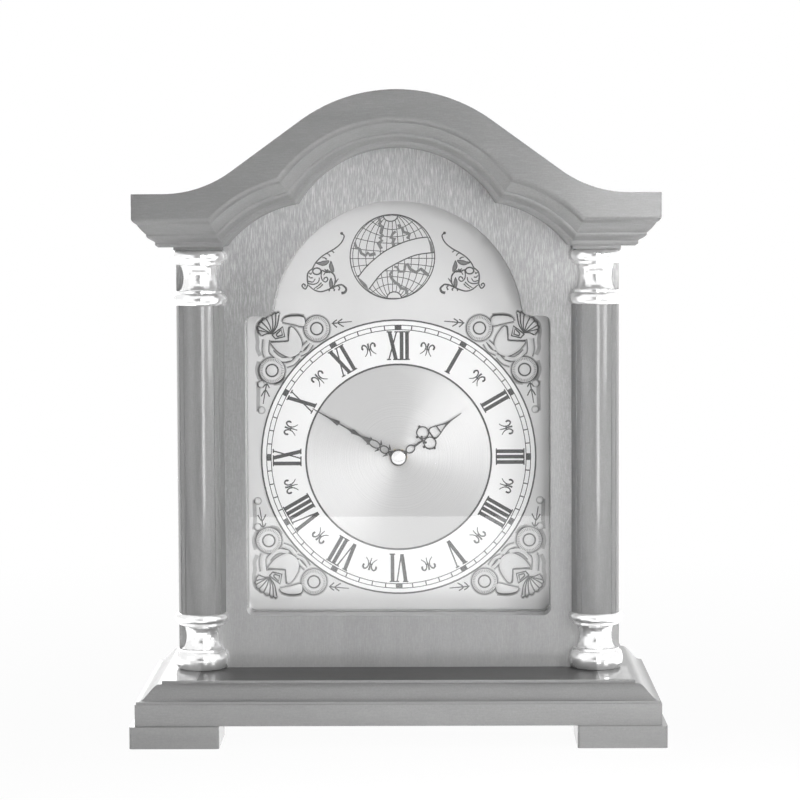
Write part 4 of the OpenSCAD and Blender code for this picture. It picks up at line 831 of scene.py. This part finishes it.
def studio_floor():
    """A pale table top. The camera sees it as white with the clock's shadow; polished faces see it glow as a painted
    reflection, bright near the clock and from half a metre before it up to the table's edge, with a painted darker
    band between."""
    material = new_material("pale_table_top_and_painted_reflection")
    speck = node(material, "TexNoise", {"Vector": in_millimetres(material, (0.05, 0.05, 0.05)), "Scale": 1.0})
    plain = node(material, "BsdfDiffuse", {
        "Color": node(material, "ValToRGB", {"Fac": speck}, [(0.3, "#f4f4f4"), (0.7, "#f6f6f6")]),
    })
    glow = node(material, "Emission", {"Color": (1, 1, 1, 1), "Strength": 1.0})
    ray = node(material, "LightPath").outputs
    seen = node(material, "Math", {
        0: ray["Is Camera Ray"], 1: ray["Is Transmission Ray"],
    }, operation="MAXIMUM")
    metres_away = node(material, "VectorMath", {
        0: in_millimetres(material, (MM, MM, 0)),
    }, operation="LENGTH").outputs["Value"]
    white = node(material, "MapRange", {
        "Value": metres_away, "From Min": 0.25, "From Max": 0.9, "To Min": 0.96, "To Max": 1.0,
    })
    lift = node(material, "Math", {0: seen, 1: white}, operation="MULTIPLY")
    shown = node(material, "MixShader", {0: lift, 1: plain, 2: glow})
    # Painted reflection: glossy rays see the table as a glow, painted darker between about 380 and 640 mm before the
    # clock.
    depth = node(material, "SeparateXYZ", {"Vector": in_millimetres(material)}).outputs["Y"]
    share = node(material, "MapRange", {"Value": depth, "From Min": -800, "From Max": -300})
    painted_reflection_bands = node(material, "ValToRGB", {"Fac": share}, [
        (0.32, "#ffffff"), (0.5, "#909090"), (0.74, "#909090"), (0.84, "#ffffff"),
    ])
    mirrored = node(material, "Emission", {"Color": painted_reflection_bands, "Strength": 1.5})
    node(material, "OutputMaterial", {
        "Surface": node(material, "MixShader", {0: ray["Is Glossy Ray"], 1: shown, 2: mirrored}),
    })
    shape = bpy.data.meshes.new("table_top")
    edge = bmesh.new()
    corners = [(-1, TABLE_FRONT), (1, TABLE_FRONT), (1, TABLE_BACK), (-1, TABLE_BACK)]
    edge.faces.new([edge.verts.new(Vector((side * TABLE_SIDE, y, -TABLE_GAP)) * MM) for side, y in corners])
    edge.to_mesh(shape)
    edge.free()
    shape.materials.append(material)
    floor = bpy.data.objects.new("table_top", shape)
    scene.collection.objects.link(floor)


def studio_light(name, place, aim, size, watts):
    """A soft box of two sides at a place in metres, turned to the point that it lights."""
    lamp = bpy.data.lights.new(name, "AREA")
    lamp.shape = "RECTANGLE"
    lamp.size, lamp.size_y = size
    lamp.energy = watts
    light = bpy.data.objects.new(name, lamp)
    light.location = place
    light.rotation_euler = (Vector(aim) - Vector(place)).to_track_quat("-Z", "Y").to_euler()
    scene.collection.objects.link(light)
    return light


def grey(value):
    return (value, value, value, 1)


def studio_world():
    """White paper all round, which polished faces see with the dark room in front of the clock. Matt faces
    get a dim fill from it, somewhat stronger from the front and below."""
    world = bpy.data.worlds.new("studio")
    scene.world = world
    world.use_nodes = True
    world.node_tree.nodes.clear()
    way = node(world, "TexCoord").outputs["Generated"]
    ray = node(world, "LightPath").outputs
    front = node(world, "VectorMath", {
        0: way, 1: (0.0, -1.0, -0.02),
    }, operation="DOT_PRODUCT").outputs["Value"]
    room = node(world, "MapRange", {"Value": front, "From Min": 0.91, "From Max": 0.975})
    paper = node(world, "Mix", {"Factor": room, "A": grey(1), "B": grey(0.1)}, data_type="RGBA")
    mirrored = node(world, "Background", {"Color": paper, "Strength": 1.15})
    ahead = node(world, "VectorMath", {
        0: way, 1: (0.15, -1.0, -0.35),
    }, operation="DOT_PRODUCT").outputs["Value"]
    facing = node(world, "MapRange", {"Value": ahead, "From Min": 0.2, "From Max": 0.95})
    soft = node(world, "Mix", {"Factor": facing, "A": grey(0.2), "B": grey(0.32)}, data_type="RGBA")
    fill = node(world, "Background", {"Color": soft, "Strength": 1.0})
    lighting = node(world, "MixShader", {0: ray["Is Glossy Ray"], 1: fill, 2: mirrored})
    seen = node(world, "Math", {0: ray["Is Camera Ray"], 1: ray["Is Transmission Ray"]}, operation="MAXIMUM")
    white = node(world, "Background", {"Color": grey(1), "Strength": 1.0})
    node(world, "OutputWorld", {"Surface": node(world, "MixShader", {0: seen, 1: lighting, 2: white})})


studio_floor()
studio_world()
studio_light("far_right_panel", (1.35, -1.25, 0.5), (0.03, 0, 0.2), (0.6, 0.8), 8)
studio_light("key_box_beside_camera", (0.47, -1.95, 0.3), (0.1, 0, 0.2), (0.5, 0.9), 10)
studio_light("fill_from_left", (-1.5, -1.2, 0.35), (0, 0, 0.2), (1.0, 1.0), 2)
studio_light("soft_light_behind", (-0.7, 1.8, 0.8), (0, 0, 0.2), (1.0, 1.0), 9)
# A narrow lamp over the table, whose light the table throws up under the mouldings; polish doesn't show it
table = studio_light("light_on_the_table", (0.2, -0.6, 1.0), (0.2, -0.6, 0), (0.6, 0.4), 6.5)
table.data.spread = math.radians(50)
table.visible_glossy = False
